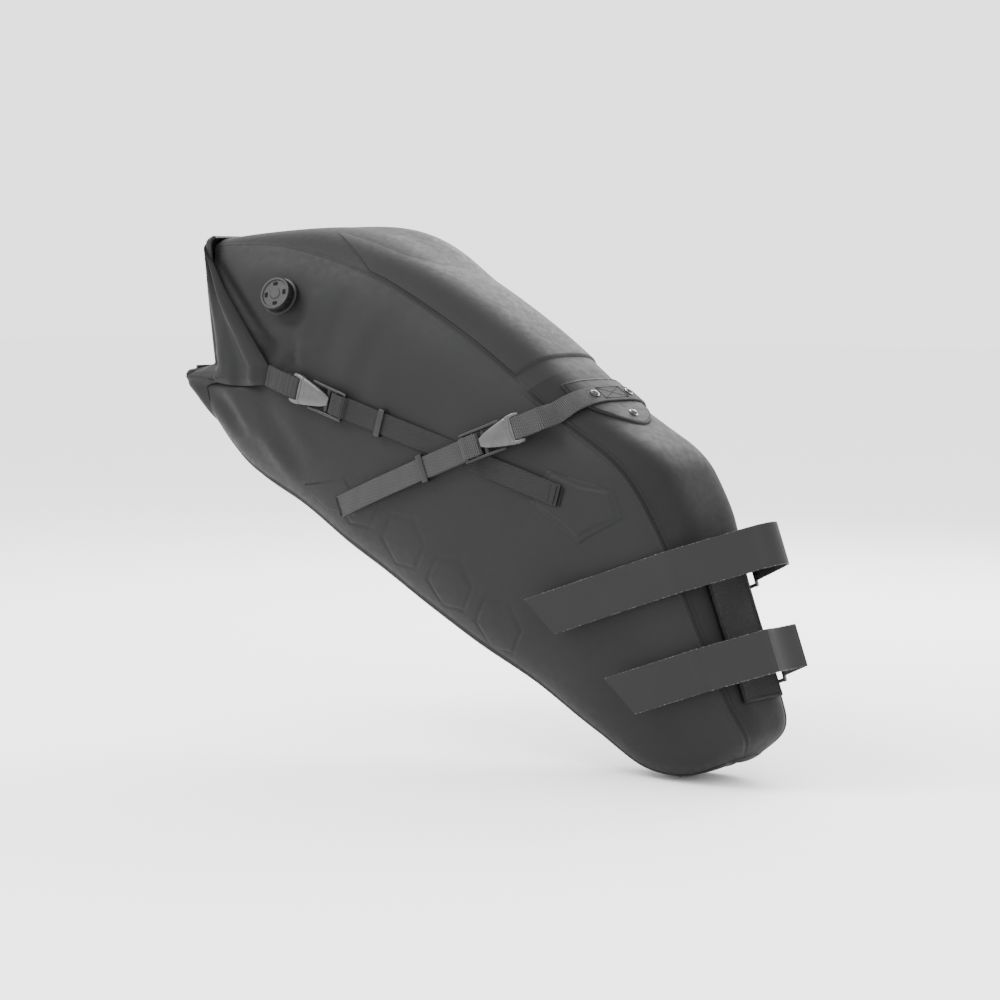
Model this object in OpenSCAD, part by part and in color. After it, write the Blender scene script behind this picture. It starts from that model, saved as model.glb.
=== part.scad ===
// Roll-top saddle bag that hangs behind a bicycle seatpost.
// +X points to the front of the bicycle, +Y to its left and +Z up.
// The origin lies on the axis of the two strap loops, midway between them.

/* [Seatpost] */
// Angle of the seatpost above the horizontal, in degrees
post_angle = 70; // [68:1:72]
// Inner radius of the two loose strap loops
loop_r = 26.5; // [26:0.1:26.5]
// Distance of the loops' axis in front of the bag's own reference line
loop_ahead = 8.5; // [8.5:0.1:9]
// Distance of each strap from the origin, along the seatpost
strap_pitch = 44; // [42:1:46]
// Width of the rubber seatpost straps
strap_w = 38; // [34:1:40]
// Thickness of the rubber seatpost straps
strap_t = 2.2; // [1.8:0.1:2.4]
// Length of the upper strap's tail behind its fold
tail_upper = 147; // [120:1:150]
// Length of the lower strap's tail behind its fold
tail_lower = 92; // [80:1:110]

/* [Bag] */
// Thickness of the welded fabric wall
wall = 1.8; // [1.2:0.1:2]
// Half width of the closure block at the mouth
mouth_half = 91.4; // [91.2:0.1:92]
// Radius of the rolled mouth
roll_r = 12; // [10:0.5:13]

/* [Webbing] */
// Width of the webbing
web_w = 20; // [18:1:20]
// Thickness of the webbing
web_t = 2; // [1.5:0.1:2]
// Slope of the roll straps below the horizontal, towards the front
roll_slope = 17; // [16:0.5:18]
// Slope of the rail straps below the horizontal, towards the rear
rail_slope = 21; // [20:0.5:22]

/* [Valve] */
// Radius of the valve flange
valve_r = 18.5; // [16:0.5:20]
// Radius of the valve cap
cap_r = 16; // [15:0.5:16.5]

/* [Hidden] */
$fn = 48;

// Loft stations from the nose to the mouth. Each holds the belly point (x, z),
// the top point (x, z), the half width, and the roundness of the top and belly halves.
STATIONS = [
    [ -24, -140,    0, -132, 20, 2.2, 2.2],
    [ -58, -155,   16, -108, 41, 3.2, 2.6],
    [-102, -152,    4,  -76, 50, 4.2, 2.8],
    [-148, -124,  -14,  -30, 56, 4.6, 3.4],
    [-193,  -99,  -34,   22, 61, 4.6, 3.4],
    [-241,  -74,  -56,   76, 66, 4.4, 3.4],
    [-295,  -48,  -90,  130, 72, 3.8, 3.4],
    [-351,  -16, -158,  178, 78, 3.3, 3.4],
    [-417,   22, -250,  244, 84, 3.0, 3.4],
    [-481,   60, -358,  300, 88, 3.2, 3.4],
    [-543,   93, -466,  328, 90, 3.6, 3.4],
    [-578,  134, -566,  322, 90, 6.0, 3.4]
];
LAST = len(STATIONS) - 1;
STEPS_PER_STATION = 3;
// Angles of the seams round a section, counted from the top centre line
SHOULDER = 42;
KEEL = 145;
// Station where the front gusset meets the top panel
GUSSET_END = 22 / 3;
// Height at which a sewn patch starts over the faceted wall
LAP = 1;
PATCH_T = 1.1;
FABRIC = [0.27, 0.27, 0.28];
GUSSET = [0.24, 0.24, 0.25];
RUBBER = [0.26, 0.26, 0.26];
WEBBING = [0.36, 0.36, 0.36];
HARDWARE = [0.16, 0.16, 0.17];

// Rolled mouth: its middle, its half width and where it meets the bag's rear edge
ROLL_POS = [-594, 0, 190];
ROLL_HALF = 88;
MOUTH_X = -582.8;

// Seatpost straps, in a plane square to the seatpost: forward distance and side distance
FOLD = [-32, -60];
EYE_R = 3.8;
EYE_HOLE_R = 2;
RING_BAR_R = 1.7;
RING_LINK = 15;
RING_LEAN = 8;
TAIL_SPREAD = 24 / 147;
TIP_SLANT = 20;

// Grip pad and stiffener board on the front face, which leans a little against the seatpost
FRONT_LEAN = 1.4;
PAD_BACK = 22.6;
PAD_T = 2.4;
PAD_W = 58;
PAD_L = 146;
PAD_LOW = -80;
STIFFENER_W = 72;

// Webbing buckles: the bar of the shield is the origin of each buckle
ROLL_BAR = [-449, -91.5, 180];
RAIL_BAR = [-198, -78, 150];
RAIL_TILT = 9;
BAR_Z = 4.5;
BUCKLE_HALF = 13.5;
SHIELD_L = 41;
SHIELD_LOW = 2.4;
SHIELD_T = 4.2;
FRAME_END = 60;

// Heights of the webbing that crosses the rail patch, and the rivets' places on the bag
BRIDGE_LOW = 2.5;
BRIDGE_REACH = 44;
BRIDGE_STATIONS = [7.09, 6.86];
RIVETS = [[6.98, 9], [6.98, -9], [6.66, 0]];
RIVET_LEAN = 40;

// Valve seat on the right side panel
VALVE_POS = [-471, -90.5, 264];
VALVE_LEAN_UP = 20;
VALVE_LEAN_FRONT = 8;
VALVE_DEEP = 12.6;
VALVE_PROUD = 1.3;

function cubic(p0, p1, p2, p3, t) =
    0.5 * (2 * p1 + (p2 - p0) * t + (2 * p0 - 5 * p1 + 4 * p2 - p3) * t * t
        + (3 * p1 - 3 * p2 + p3 - p0) * t * t * t);

function station(s) =
    let (i = max(0, min(LAST - 1, floor(s))))
    cubic(STATIONS[max(i - 1, 0)], STATIONS[i], STATIONS[i + 1], STATIONS[min(i + 2, LAST)], s - i);

function signed_power(base, exponent) = sign(base) * pow(abs(base), exponent);

// Point on the bag's surface: station s, angle a from the top centre line, offset outwards
function skin(s, a, off = 0) =
    let (q = station(s))
    let (run = [q[2] - q[0], q[3] - q[1]])
    let (half = norm(run) / 2)
    let (roundness = cos(a) > 0 ? q[5] : q[6])
    let (v = (half + off) * signed_power(cos(a), 2 / roundness))
    let (u = (q[4] + off) * signed_power(sin(a), 2 / roundness))
    [(q[0] + q[2]) / 2 + run[0] / 2 / half * v, -u, (q[1] + q[3]) / 2 + run[1] / 2 / half * v];

// Direction that points out of the bag's surface at (s, a)
function skin_normal(s, a) =
    let (ahead = min(s + 0.1, LAST))
    let (behind = max(s - 0.1, 0))
    let (n = cross(skin(ahead, a) - skin(behind, a), skin(s, a + 3) - skin(s, a - 3)))
    n / norm(n);

function ahead_of(s, x, z) =
    let (q = station(s))
    (q[2] - q[0]) * (z - q[1]) - (q[3] - q[1]) * (x - q[0]);

function find_station(x, z, low, high, tries) =
    let (middle = (low + high) / 2)
    tries == 0 ? middle
    : (ahead_of(middle, x, z) < 0) == (ahead_of(0, x, z) < 0)
        ? find_station(x, z, middle, high, tries - 1)
        : find_station(x, z, low, middle, tries - 1);

// Half width of the bag where its side passes through (x, z)
function half_width(x, z) =
    let (q = station(find_station(x, z, 0, LAST, 18)))
    let (run = [q[2] - q[0], q[3] - q[1]])
    let (half = norm(run) / 2)
    let (v = ([x, z] - [q[0] + q[2], q[1] + q[3]] / 2) * run / (2 * half * half))
    let (roundness = v > 0 ? q[5] : q[6])
    q[4] * pow(max(0, 1 - pow(min(1, abs(v)), roundness)), 1 / roundness);

function side_point(x, z, off) = [x, -(half_width(x, z) + off), z];

// Closed slab between two grids of the same size
module slab(outer, inner) {
    rows = len(outer);
    cols = len(outer[0]);
    shift = rows * cols;
    points = concat([for (row = outer) each row], [for (row = inner) each row]);
    function at(i, j) = i * cols + j;
    skins = [for (i = [0:rows - 2], j = [0:cols - 2]) each [
        [at(i, j), at(i, j + 1), at(i + 1, j)],
        [at(i, j + 1), at(i + 1, j + 1), at(i + 1, j)],
        [shift + at(i, j), shift + at(i + 1, j), shift + at(i, j + 1)],
        [shift + at(i, j + 1), shift + at(i + 1, j), shift + at(i + 1, j + 1)]
    ]];
    ends = [for (j = [0:cols - 2]) each [
        [at(0, j), shift + at(0, j), shift + at(0, j + 1)],
        [at(0, j), shift + at(0, j + 1), at(0, j + 1)],
        [at(rows - 1, j), shift + at(rows - 1, j + 1), shift + at(rows - 1, j)],
        [at(rows - 1, j), at(rows - 1, j + 1), shift + at(rows - 1, j + 1)]
    ]];
    edges = [for (i = [0:rows - 2]) each [
        [at(i, 0), shift + at(i + 1, 0), shift + at(i, 0)],
        [at(i, 0), at(i + 1, 0), shift + at(i + 1, 0)],
        [at(i, cols - 1), shift + at(i, cols - 1), shift + at(i + 1, cols - 1)],
        [at(i, cols - 1), shift + at(i + 1, cols - 1), at(i + 1, cols - 1)]
    ]];
    polyhedron(points, concat(skins, ends, edges), convexity = 6);
}

// Part of the bag's wall between two stations and two seam angles
module wall_panel(s0, s1, a0, a1, cols) {
    rows = round((s1 - s0) * STEPS_PER_STATION);
    function along(i) = s0 + (s1 - s0) * i / rows;
    function round_to(j) = a0 + (a1 - a0) * j / cols;
    function face(i, j, depth) = skin(along(i), round_to(j)) - depth * skin_normal(along(i), round_to(j));
    outer = [for (i = [0:rows]) [for (j = [0:cols]) face(i, j, 0)]];
    inner = [for (i = [0:rows]) [for (j = [0:cols]) face(i, j, wall)]];
    slab(outer, inner);
}

// Thin patch over the bag: a rim of (u, v) points round a centre
module patch(rim, centre, low, high, on_side) {
    cuts = 5;
    rings = 6;
    count = len(rim);
    line = [for (k = [0:count * cuts])
        let (i = floor(k / cuts))
        rim[i % count] + (rim[(i + 1) % count] - rim[i % count]) * (k / cuts - i)];
    function spot(p, off) = on_side ? side_point(p[0], p[1], off) : skin(p[0], p[1], off);
    function ring_points(off) = [for (r = [1:rings], k = [0:count * cuts - 1])
        spot(centre + (line[k] - centre) * r / rings, off)];
    n = count * cuts;
    total = rings * n;
    points = concat([spot(centre, high)], ring_points(high), [spot(centre, low)], ring_points(low));
    base = total + 1;
    function at(r, k) = 1 + r * n + k % n;
    faces = concat(
        [for (k = [0:n - 1]) each [
            [0, at(0, k + 1), at(0, k)],
            [base, base + at(0, k), base + at(0, k + 1)]
        ]],
        [for (r = [0:rings - 2], k = [0:n - 1]) each [
            [at(r, k), at(r, k + 1), at(r + 1, k)],
            [at(r, k + 1), at(r + 1, k + 1), at(r + 1, k)],
            [base + at(r, k), base + at(r + 1, k), base + at(r, k + 1)],
            [base + at(r, k + 1), base + at(r + 1, k), base + at(r + 1, k + 1)]
        ]],
        [for (k = [0:n - 1]) each [
            [at(rings - 1, k), at(rings - 1, k + 1), base + at(rings - 1, k)],
            [at(rings - 1, k + 1), base + at(rings - 1, k + 1), base + at(rings - 1, k)]
        ]]
    );
    polyhedron(points, faces, convexity = 4);
}

// Webbing that lies on the side between two (x, z) points; offsets run from start to end
module side_band(start, end, offsets) {
    rows = 14;
    along = (end - start) / norm(end - start);
    across = [-along[1], along[0]];
    function height(k) = lookup(k, offsets);
    function reach(p, q) = max(half_width(p[0], p[1]), half_width(q[0], q[1]));
    function spot(p, q, k, lift) = [p[0], -(reach(p, q) + height(k) + lift), p[1]];
    function row(k, lift) =
        let (c = start + (end - start) * k)
        let (a = c + across * web_w / 2)
        let (b = c - across * web_w / 2)
        [spot(a, c, k, lift), spot(b, c, k, lift)];
    slab([for (i = [0:rows]) row(i / rows, web_t)], [for (i = [0:rows]) row(i / rows, 0)]);
}

// Buckle frame of reference: x along the strap, y across it, z away from the bag
module on_right(origin, turn, tilt) {
    translate(origin) rotate([90, 0, 0]) rotate([0, 0, turn]) rotate([0, -tilt, 0]) children();
}

module on_left() {
    mirror([0, 1, 0]) children();
}

module at_rail() {
    on_right(RAIL_BAR, 180 + rail_slope, RAIL_TILT) children();
}

module at_roll() {
    on_right(ROLL_BAR, -roll_slope, 0) children();
}

// Webbing loop round a shield's bar, with a flat lead that comes to it
module webbing_eye(lead) {
    translate([0, web_w / 2, BAR_Z]) rotate([90, 0, 0]) difference() {
        union() {
            cylinder(h = web_w, r = EYE_R);
            translate([-lead, -web_t / 2, 0]) cube([lead, web_t, web_w]);
        }
        translate([0, 0, -1]) cylinder(h = web_w + 2, r = EYE_HOLE_R);
    }
}

module shield() {
    cheek = 2.9;
    color(HARDWARE) {
        translate([0, BUCKLE_HALF, BAR_Z]) rotate([90, 0, 0]) cylinder(h = 2 * BUCKLE_HALF, r = 1.6);
        for (y = [-BUCKLE_HALF, BUCKLE_HALF - cheek]) {
            translate([-1.6, y, SHIELD_LOW]) cube([8, cheek, SHIELD_T]);
        }
        translate([0, 0, SHIELD_LOW]) linear_extrude(SHIELD_T)
            polygon([[4.6, -BUCKLE_HALF], [12, -12.4], [36, -6.5], [SHIELD_L, -3.5],
                [SHIELD_L, 3.5], [36, 6.5], [12, 12.4], [4.6, BUCKLE_HALF]]);
    }
}

module ladder_frame() {
    arm_in = 10.9;
    arm_out = 13.9;
    color(HARDWARE) {
        for (side = [-1, 1]) {
            translate([18, side > 0 ? arm_in : -arm_out, 0]) cube([FRAME_END - 18, arm_out - arm_in, 4.4]);
        }
        translate([36, -arm_in, 0]) cube([4, 2 * arm_in, 2]);
        for (x = [46, FRAME_END - 3]) {
            translate([x, -arm_in, 0]) cube([3, 2 * arm_in, 3.6]);
        }
    }
}

// Slider that runs along the webbing: a rectangular loop
module keeper(opening, reach) {
    color(HARDWARE) difference() {
        translate([-3.5, -13, -1.2]) cube([7, 26, opening + 3]);
        translate([-4.5, -reach, 0]) cube([9, 2 * reach, opening]);
    }
}

// Places its children in a plane square to the seatpost, at a distance along it
module at_post(along) {
    rotate([0, post_angle - 90, 0]) translate([0, 0, along]) children();
}

module on_front() {
    at_post(0) rotate([0, -FRONT_LEAN, 0]) children();
}

// Moves the bag back so that the loops' axis passes through the origin
module placed() {
    at_post(0) translate([-loop_ahead, 0, 0]) rotate([0, 90 - post_angle, 0]) children();
}

module side_panel_right() {
    color(FABRIC) difference() {
        wall_panel(0, LAST, SHOULDER, KEEL, 8);
        at_valve() translate([0, 0, -20]) cylinder(h = 30, r = 11.5);
    }
}

module side_panel_left() {
    color(FABRIC) wall_panel(0, LAST, -KEEL, -SHOULDER, 8);
}

module top_panel() {
    color(FABRIC) wall_panel(GUSSET_END, LAST, -SHOULDER, SHOULDER, 8);
}

module front_panel() {
    color(GUSSET) wall_panel(0, GUSSET_END, -SHOULDER, SHOULDER, 8);
}

module belly_panel() {
    function rung(s, a, off) = [skin(s, a, off), skin(s, -a, off)];
    angles = [12:12:168];
    color(FABRIC) {
        wall_panel(0, LAST, KEEL, 360 - KEEL, 6);
        slab([for (a = angles) rung(0.1, a, -wall - 2.6)], [for (a = angles) rung(0.3, a, -wall - 4)]);
    }
}

module top_reinforcement() {
    rim = [[10.7, -24], [10.7, 24], [9.9, 38], [8.3, 36], [7.6, 18], [7.6, -18], [8.3, -36], [9.9, -38]];
    color(FABRIC) patch(rim, [9.2, 0], LAP, LAP + PATCH_T, false);
}

module nose_stiffener() {
    color(HARDWARE) on_front() translate([-35, -STIFFENER_W / 2, -84]) cube([2, STIFFENER_W, 160]);
}

module seatpost_pad() {
    color(RUBBER) on_front() translate([-PAD_BACK, -PAD_W / 2, PAD_LOW]) cube([PAD_T, PAD_W, PAD_L]);
}

module at_valve() {
    translate(VALVE_POS) rotate([0, 0, VALVE_LEAN_FRONT]) rotate([90 - VALVE_LEAN_UP, 0, 0])
        translate([0, 0, VALVE_PROUD]) children();
}

module valve_base() {
    color(HARDWARE) at_valve() difference() {
        union() {
            cylinder(h = 2.5, r = valve_r);
            cylinder(h = 7, r = 12.5);
            translate([0, 0, -VALVE_DEEP]) cylinder(h = VALVE_DEEP + 0.5, r = 10.5);
        }
        translate([0, 0, -VALVE_DEEP - 1]) cylinder(h = VALVE_DEEP + 9, r = 6);
    }
}

module valve_seal() {
    color(RUBBER) at_valve() translate([0, 0, 7.1]) difference() {
        cylinder(h = 1.2, r = 11);
        translate([0, 0, -1]) cylinder(h = 4, r = 7);
    }
}

module valve_cap() {
    color(HARDWARE) at_valve() difference() {
        translate([0, 0, 3]) cylinder(h = 8.4, r = cap_r);
        translate([0, 0, 2]) cylinder(h = 6.8, r = 13);
        for (k = [0:3]) {
            rotate([0, 0, 90 * k]) translate([8, -2.6, 10]) cube([3.4, 5.2, 3]);
        }
    }
}

module valve_nut() {
    color(HARDWARE) at_valve() translate([0, 0, -VALVE_DEEP]) difference() {
        cylinder(h = 2.8, r = 12, $fn = 8);
        translate([0, 0, -1]) cylinder(h = 5, r = 10.7);
    }
}

// Rolled mouth: a hollow end block, the roll behind it and the two folded wings
module roll_collar() {
    block = [[-566.6, 321], [-580, 314], [-588, 260], [-598, 205], [-604, 188], [-594, 158], [-578.6, 137]];
    hollow = [[-569, 312], [-577, 308], [-584, 258], [-592, 206], [-596, 188], [-589, 162], [-578, 148]];
    wing = [[-592, 300], [-572, 304], [-500, 200], [-486, 199], [-486, 178], [-560, 166], [-600, 184]];
    wing_in = 90.8;
    wing_out = 94.4;
    end_wall = 5;
    color(FABRIC) {
        difference() {
            across(mouth_half) polygon(block);
            across(mouth_half - end_wall) polygon(hollow);
            roll_bore();
        }
        difference() {
            translate(ROLL_POS) across(ROLL_HALF) circle(r = roll_r);
            roll_bore();
            translate([MOUTH_X, -mouth_half, ROLL_POS[2] - 30]) cube([10, 2 * mouth_half, 60]);
        }
        for (side = [-1, 1]) {
            translate([0, side * (wing_in + wing_out) / 2, 0]) across((wing_out - wing_in) / 2) polygon(wing);
        }
    }
}

// Extrudes an outline drawn in x and z to both sides of the middle
module across(half) {
    translate([0, half, 0]) rotate([90, 0, 0]) linear_extrude(2 * half) children();
}

module roll_bore() {
    translate([ROLL_POS[0], ROLL_HALF - 8, ROLL_POS[2]]) rotate([90, 0, 0])
        cylinder(h = 2 * ROLL_HALF - 16, r = roll_r - 2.5);
}

module roll_stiffener() {
    board_w = 156;
    color(HARDWARE) translate([ROLL_POS[0] - 0.8, -board_w / 2, ROLL_POS[2] - 8.4])
        cube([1.6, board_w, 16.5]);
}

// Loop of rubber strap round the seatpost: legs tangent to the arc run back to the folds
module strap_loop() {
    mid_r = loop_r + strap_t / 2;
    fold = FOLD - [loop_ahead, 0];
    touch = atan2(fold[1], fold[0]) + acos(mid_r / norm(fold));
    leg = sqrt(norm(fold) * norm(fold) - mid_r * mid_r);
    far = 2 * norm(fold);
    lap = 2;
    eye_lap = 0.8;
    skim = 0.06;
    translate([loop_ahead, 0, -strap_w / 2]) linear_extrude(strap_w) {
        difference() {
            circle(r = loop_r + strap_t, $fn = 96);
            circle(r = loop_r, $fn = 96);
            polygon([[0, 0], far * [cos(touch), sin(touch)], far * [-1, -1], far * [-1, 1],
                far * [cos(touch), -sin(touch)]]);
        }
        for (side = [-1, 1]) {
            short = side > 0 ? EYE_R - eye_lap : 0;
            mirror([0, side > 0 ? 1 : 0, 0]) rotate(touch) translate([loop_r + skim, short - leg])
                square([strap_t - 2 * skim, leg - short + lap]);
        }
        translate([fold[0], -fold[1]]) difference() {
            circle(r = EYE_R);
            circle(r = EYE_HOLE_R);
        }
    }
}

// Loose tail of a strap, with a slanted tip
module strap_tail(reach) {
    lead = 0.4;
    color(RUBBER) translate([FOLD[0] - 0.6, FOLD[1] - 1.4, 0]) rotate([0, 0, atan(TAIL_SPREAD)])
        translate([-lead, strap_t - 1.1, 0]) rotate([90, 0, 0]) linear_extrude(strap_t)
            polygon([[0, -strap_w / 2], [0, strap_w / 2], [-reach, strap_w / 2],
                [-reach + TIP_SLANT, -strap_w / 2]]);
}

// Rectangular wire ring that joins a strap to its sewn tab
module strap_ring() {
    bar = strap_w + 6;
    color(HARDWARE) translate([FOLD[0], -FOLD[1], 0]) rotate([0, 0, -RING_LEAN]) {
        for (x = [0, -RING_LINK]) {
            translate([x, 0, -bar / 2]) cylinder(h = bar, r = RING_BAR_R);
        }
        for (z = [-bar / 2, bar / 2]) {
            translate([0, 0, z]) rotate([0, -90, 0]) cylinder(h = RING_LINK, r = RING_BAR_R);
            for (x = [0, -RING_LINK]) {
                translate([x, 0, z]) sphere(r = RING_BAR_R);
            }
        }
    }
}

module ring_tab() {
    color(WEBBING) translate([FOLD[0], -FOLD[1], -strap_w / 2]) rotate([0, 0, -RING_LEAN])
        translate([-RING_LINK, 0, 0]) linear_extrude(strap_w) difference() {
            union() {
                circle(r = EYE_R);
                translate([-46, 0.4]) square([46, 2]);
            }
            circle(r = EYE_HOLE_R);
        }
}

module seatpost_strap_upper() {
    color(RUBBER) at_post(strap_pitch) strap_loop();
}

module strap_tail_upper() {
    at_post(strap_pitch) strap_tail(tail_upper);
}

module strap_ring_upper() {
    at_post(strap_pitch) strap_ring();
}

module ring_tab_upper() {
    at_post(strap_pitch) ring_tab();
}

module seatpost_strap_lower() {
    color(RUBBER) at_post(-strap_pitch) strap_loop();
}

module strap_tail_lower() {
    at_post(-strap_pitch) strap_tail(tail_lower);
}

module strap_ring_lower() {
    at_post(-strap_pitch) strap_ring();
}

module ring_tab_lower() {
    at_post(-strap_pitch) ring_tab();
}

module rail_patch() {
    rim = [[7.22, 22], [6.98, 24], [6.76, 16], [6.46, 0], [6.76, -16], [6.98, -24], [7.22, -22]];
    color(GUSSET) patch(rim, [6.9, 0], LAP, BRIDGE_LOW - 0.4, false);
}

module rail_bridge_webbing() {
    rows = 20;
    function row(k, off) = [for (s = BRIDGE_STATIONS) skin(s, BRIDGE_REACH * (1 - 2 * k), off)];
    color(WEBBING) slab([for (i = [0:rows]) row(i / rows, BRIDGE_LOW + web_t)],
        [for (i = [0:rows]) row(i / rows, BRIDGE_LOW)]);
}

module rail_rivets() {
    color(HARDWARE) for (r = RIVETS) {
        translate(skin(r[0], r[1], BRIDGE_LOW + web_t + 0.9)) rotate([0, RIVET_LEAN, 0]) {
            cylinder(h = 1, r = 4.5);
            translate([0, 0, 1]) difference() {
                sphere(r = 3.6);
                translate([0, 0, -5]) cube(10, center = true);
            }
        }
    }
}

function rail_line(x) = [x, RAIL_BAR[2] + (x - RAIL_BAR[0]) * tan(rail_slope)];
function roll_line(x) = [x, ROLL_BAR[2] - (x - ROLL_BAR[0]) * tan(roll_slope)];

module rail_webbing() {
    color(WEBBING) at_rail() webbing_eye(22);
}

module rail_shield() {
    at_rail() shield();
}

module rail_frame() {
    at_rail() ladder_frame();
}

module rail_lower_webbing() {
    color(WEBBING) side_band(rail_line(-256), rail_line(-409), [[0, 4.6], [0.45, 4.4], [0.8, 2.5], [1, 2.4]]);
}

module rail_keeper() {
    spot = rail_line(-302);
    translate([spot[0], -(half_width(spot[0], spot[1]) + 3.9), spot[1]]) rotate([90, 0, 0])
        rotate([0, 0, 180 + rail_slope]) keeper(web_t + 1.4, 11);
}

module rail_anchor_patch() {
    rim = [[-455, 90], [-400, 95], [-380, 74], [-390, 64], [-430, 72]];
    color(FABRIC) patch(rim, [-410, 80], LAP, LAP + PATCH_T, true);
}

module roll_tab() {
    color(WEBBING) at_roll() webbing_eye(38);
}

module roll_shield() {
    at_roll() shield();
}

module roll_frame() {
    at_roll() ladder_frame();
}

module roll_webbing() {
    offsets = [[0, 3.2], [0.3, 3], [0.45, 0.6], [0.75, 0.6], [0.86, 2.2], [1, 2.2]];
    color(WEBBING) side_band(roll_line(-388), roll_line(-158), offsets);
}

module roll_keeper() {
    spot = roll_line(-351);
    translate([spot[0], -(half_width(spot[0], spot[1]) + 2.4), spot[1]]) rotate([90, 0, 0])
        rotate([0, 0, -roll_slope]) keeper(web_t + 1.4, 11);
}

module roll_anchor_patch() {
    rim = [[-172, 114], [-104, 98], [-95, 74], [-141, 49], [-190, 84]];
    color(FABRIC) patch(rim, [-142, 82], LAP - 0.5, LAP - 0.5 + PATCH_T, true);
}

placed() side_panel_right();
placed() side_panel_left();
placed() top_panel();
placed() front_panel();
placed() belly_panel();
placed() top_reinforcement();
placed() nose_stiffener();
placed() seatpost_pad();
placed() valve_base();
placed() valve_seal();
placed() valve_cap();
placed() valve_nut();
placed() roll_collar();
placed() roll_stiffener();
placed() seatpost_strap_upper();
placed() strap_tail_upper();
placed() strap_ring_upper();
placed() ring_tab_upper();
placed() seatpost_strap_lower();
placed() strap_tail_lower();
placed() strap_ring_lower();
placed() ring_tab_lower();
placed() rail_patch();
placed() rail_rivets();
placed() rail_bridge_webbing();
placed() rail_webbing();  // rail_webbing_right
placed() rail_shield();  // rail_shield_right
placed() rail_frame();  // rail_frame_right
placed() rail_lower_webbing();  // rail_lower_webbing_right
placed() rail_keeper();  // rail_keeper_right
placed() rail_anchor_patch();  // rail_anchor_patch_right
placed() on_left() rail_webbing();  // rail_webbing_left
placed() on_left() rail_shield();  // rail_shield_left
placed() on_left() rail_frame();  // rail_frame_left
placed() on_left() rail_lower_webbing();  // rail_lower_webbing_left
placed() on_left() rail_keeper();  // rail_keeper_left
placed() on_left() rail_anchor_patch();  // rail_anchor_patch_left
placed() roll_tab();  // roll_tab_right
placed() roll_shield();  // roll_shield_right
placed() roll_frame();  // roll_frame_right
placed() roll_webbing();  // roll_webbing_right
placed() roll_keeper();  // roll_keeper_right
placed() roll_anchor_patch();  // roll_anchor_patch_right
placed() on_left() roll_tab();  // roll_tab_left
placed() on_left() roll_shield();  // roll_shield_left
placed() on_left() roll_frame();  // roll_frame_left
placed() on_left() roll_webbing();  // roll_webbing_left
placed() on_left() roll_keeper();  // roll_keeper_left
placed() on_left() roll_anchor_patch();  // roll_anchor_patch_left
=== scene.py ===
import math

import bmesh
import bpy
import numpy as np
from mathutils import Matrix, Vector


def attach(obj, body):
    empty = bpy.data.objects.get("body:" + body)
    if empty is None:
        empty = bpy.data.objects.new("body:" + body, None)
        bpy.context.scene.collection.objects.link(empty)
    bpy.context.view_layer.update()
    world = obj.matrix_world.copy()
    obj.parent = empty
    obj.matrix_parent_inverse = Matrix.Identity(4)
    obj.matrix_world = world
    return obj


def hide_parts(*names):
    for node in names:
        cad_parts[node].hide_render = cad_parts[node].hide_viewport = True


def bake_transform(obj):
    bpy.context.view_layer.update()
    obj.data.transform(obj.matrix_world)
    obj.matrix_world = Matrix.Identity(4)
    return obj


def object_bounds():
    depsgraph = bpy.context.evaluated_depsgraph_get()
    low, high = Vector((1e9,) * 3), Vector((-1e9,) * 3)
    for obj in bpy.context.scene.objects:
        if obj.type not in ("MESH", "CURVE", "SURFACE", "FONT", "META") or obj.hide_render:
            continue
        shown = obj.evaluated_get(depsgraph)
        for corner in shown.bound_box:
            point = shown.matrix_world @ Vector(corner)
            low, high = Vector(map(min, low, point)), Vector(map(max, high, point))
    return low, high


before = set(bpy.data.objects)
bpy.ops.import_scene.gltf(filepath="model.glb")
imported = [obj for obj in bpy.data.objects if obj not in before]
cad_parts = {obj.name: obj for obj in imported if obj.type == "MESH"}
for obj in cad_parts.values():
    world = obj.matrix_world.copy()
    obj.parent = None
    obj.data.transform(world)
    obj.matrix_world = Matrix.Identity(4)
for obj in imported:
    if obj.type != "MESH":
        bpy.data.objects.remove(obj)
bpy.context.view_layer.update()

MM = 0.001
RNG = np.random.default_rng(7)

# ---------------------------------------------------------------- design, as in part.scad (mm)
# Loft stations: belly point (x, z), top point (x, z), half width, roundness of top and belly
STATIONS = np.array([
    [-24, -140, 0, -132, 20, 2.2, 2.2],
    [-58, -155, 16, -108, 41, 3.2, 2.6],
    [-102, -152, 4, -76, 50, 4.2, 2.8],
    [-148, -124, -14, -30, 56, 4.6, 3.4],
    [-193, -99, -34, 22, 61, 4.6, 3.4],
    [-241, -74, -56, 76, 66, 4.4, 3.4],
    [-295, -48, -90, 130, 72, 3.8, 3.4],
    [-351, -16, -158, 178, 78, 3.3, 3.4],
    [-417, 22, -250, 244, 84, 3.0, 3.4],
    [-481, 60, -358, 300, 88, 3.2, 3.4],
    [-543, 93, -466, 328, 90, 3.6, 3.4],
    [-578, 134, -566, 322, 90, 6.0, 3.4],
], float)
LAST = len(STATIONS) - 1
SHOULDER = 42.0
KEEL = 145.0
GUSSET_END = 22 / 3
POST_ANGLE = 70.0
LOOP_R = 26.5
LOOP_AHEAD = 8.5
STRAP_PITCH = 44.0
STRAP_W = 38.0
STRAP_T = 2.2
FOLD = (-32.0, -60.0)
ROLL_SLOPE = 17.0
RAIL_SLOPE = 21.0
RAIL_TILT = 9.0
ROLL_BAR = np.array([-449, -91.5, 180.0])
RAIL_BAR = np.array([-198, -78, 150.0])
BAR_Z = 4.5
WEB_W = 20.0
VALVE_POS = np.array([-471, -90.5, 264.0])
POST_LEAN = math.radians(90 - POST_ANGLE)
# The bag's own coordinates are moved back by this much, as in part.scad
AHEAD = LOOP_AHEAD * np.array([math.cos(POST_LEAN), 0, math.sin(POST_LEAN)])


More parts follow.
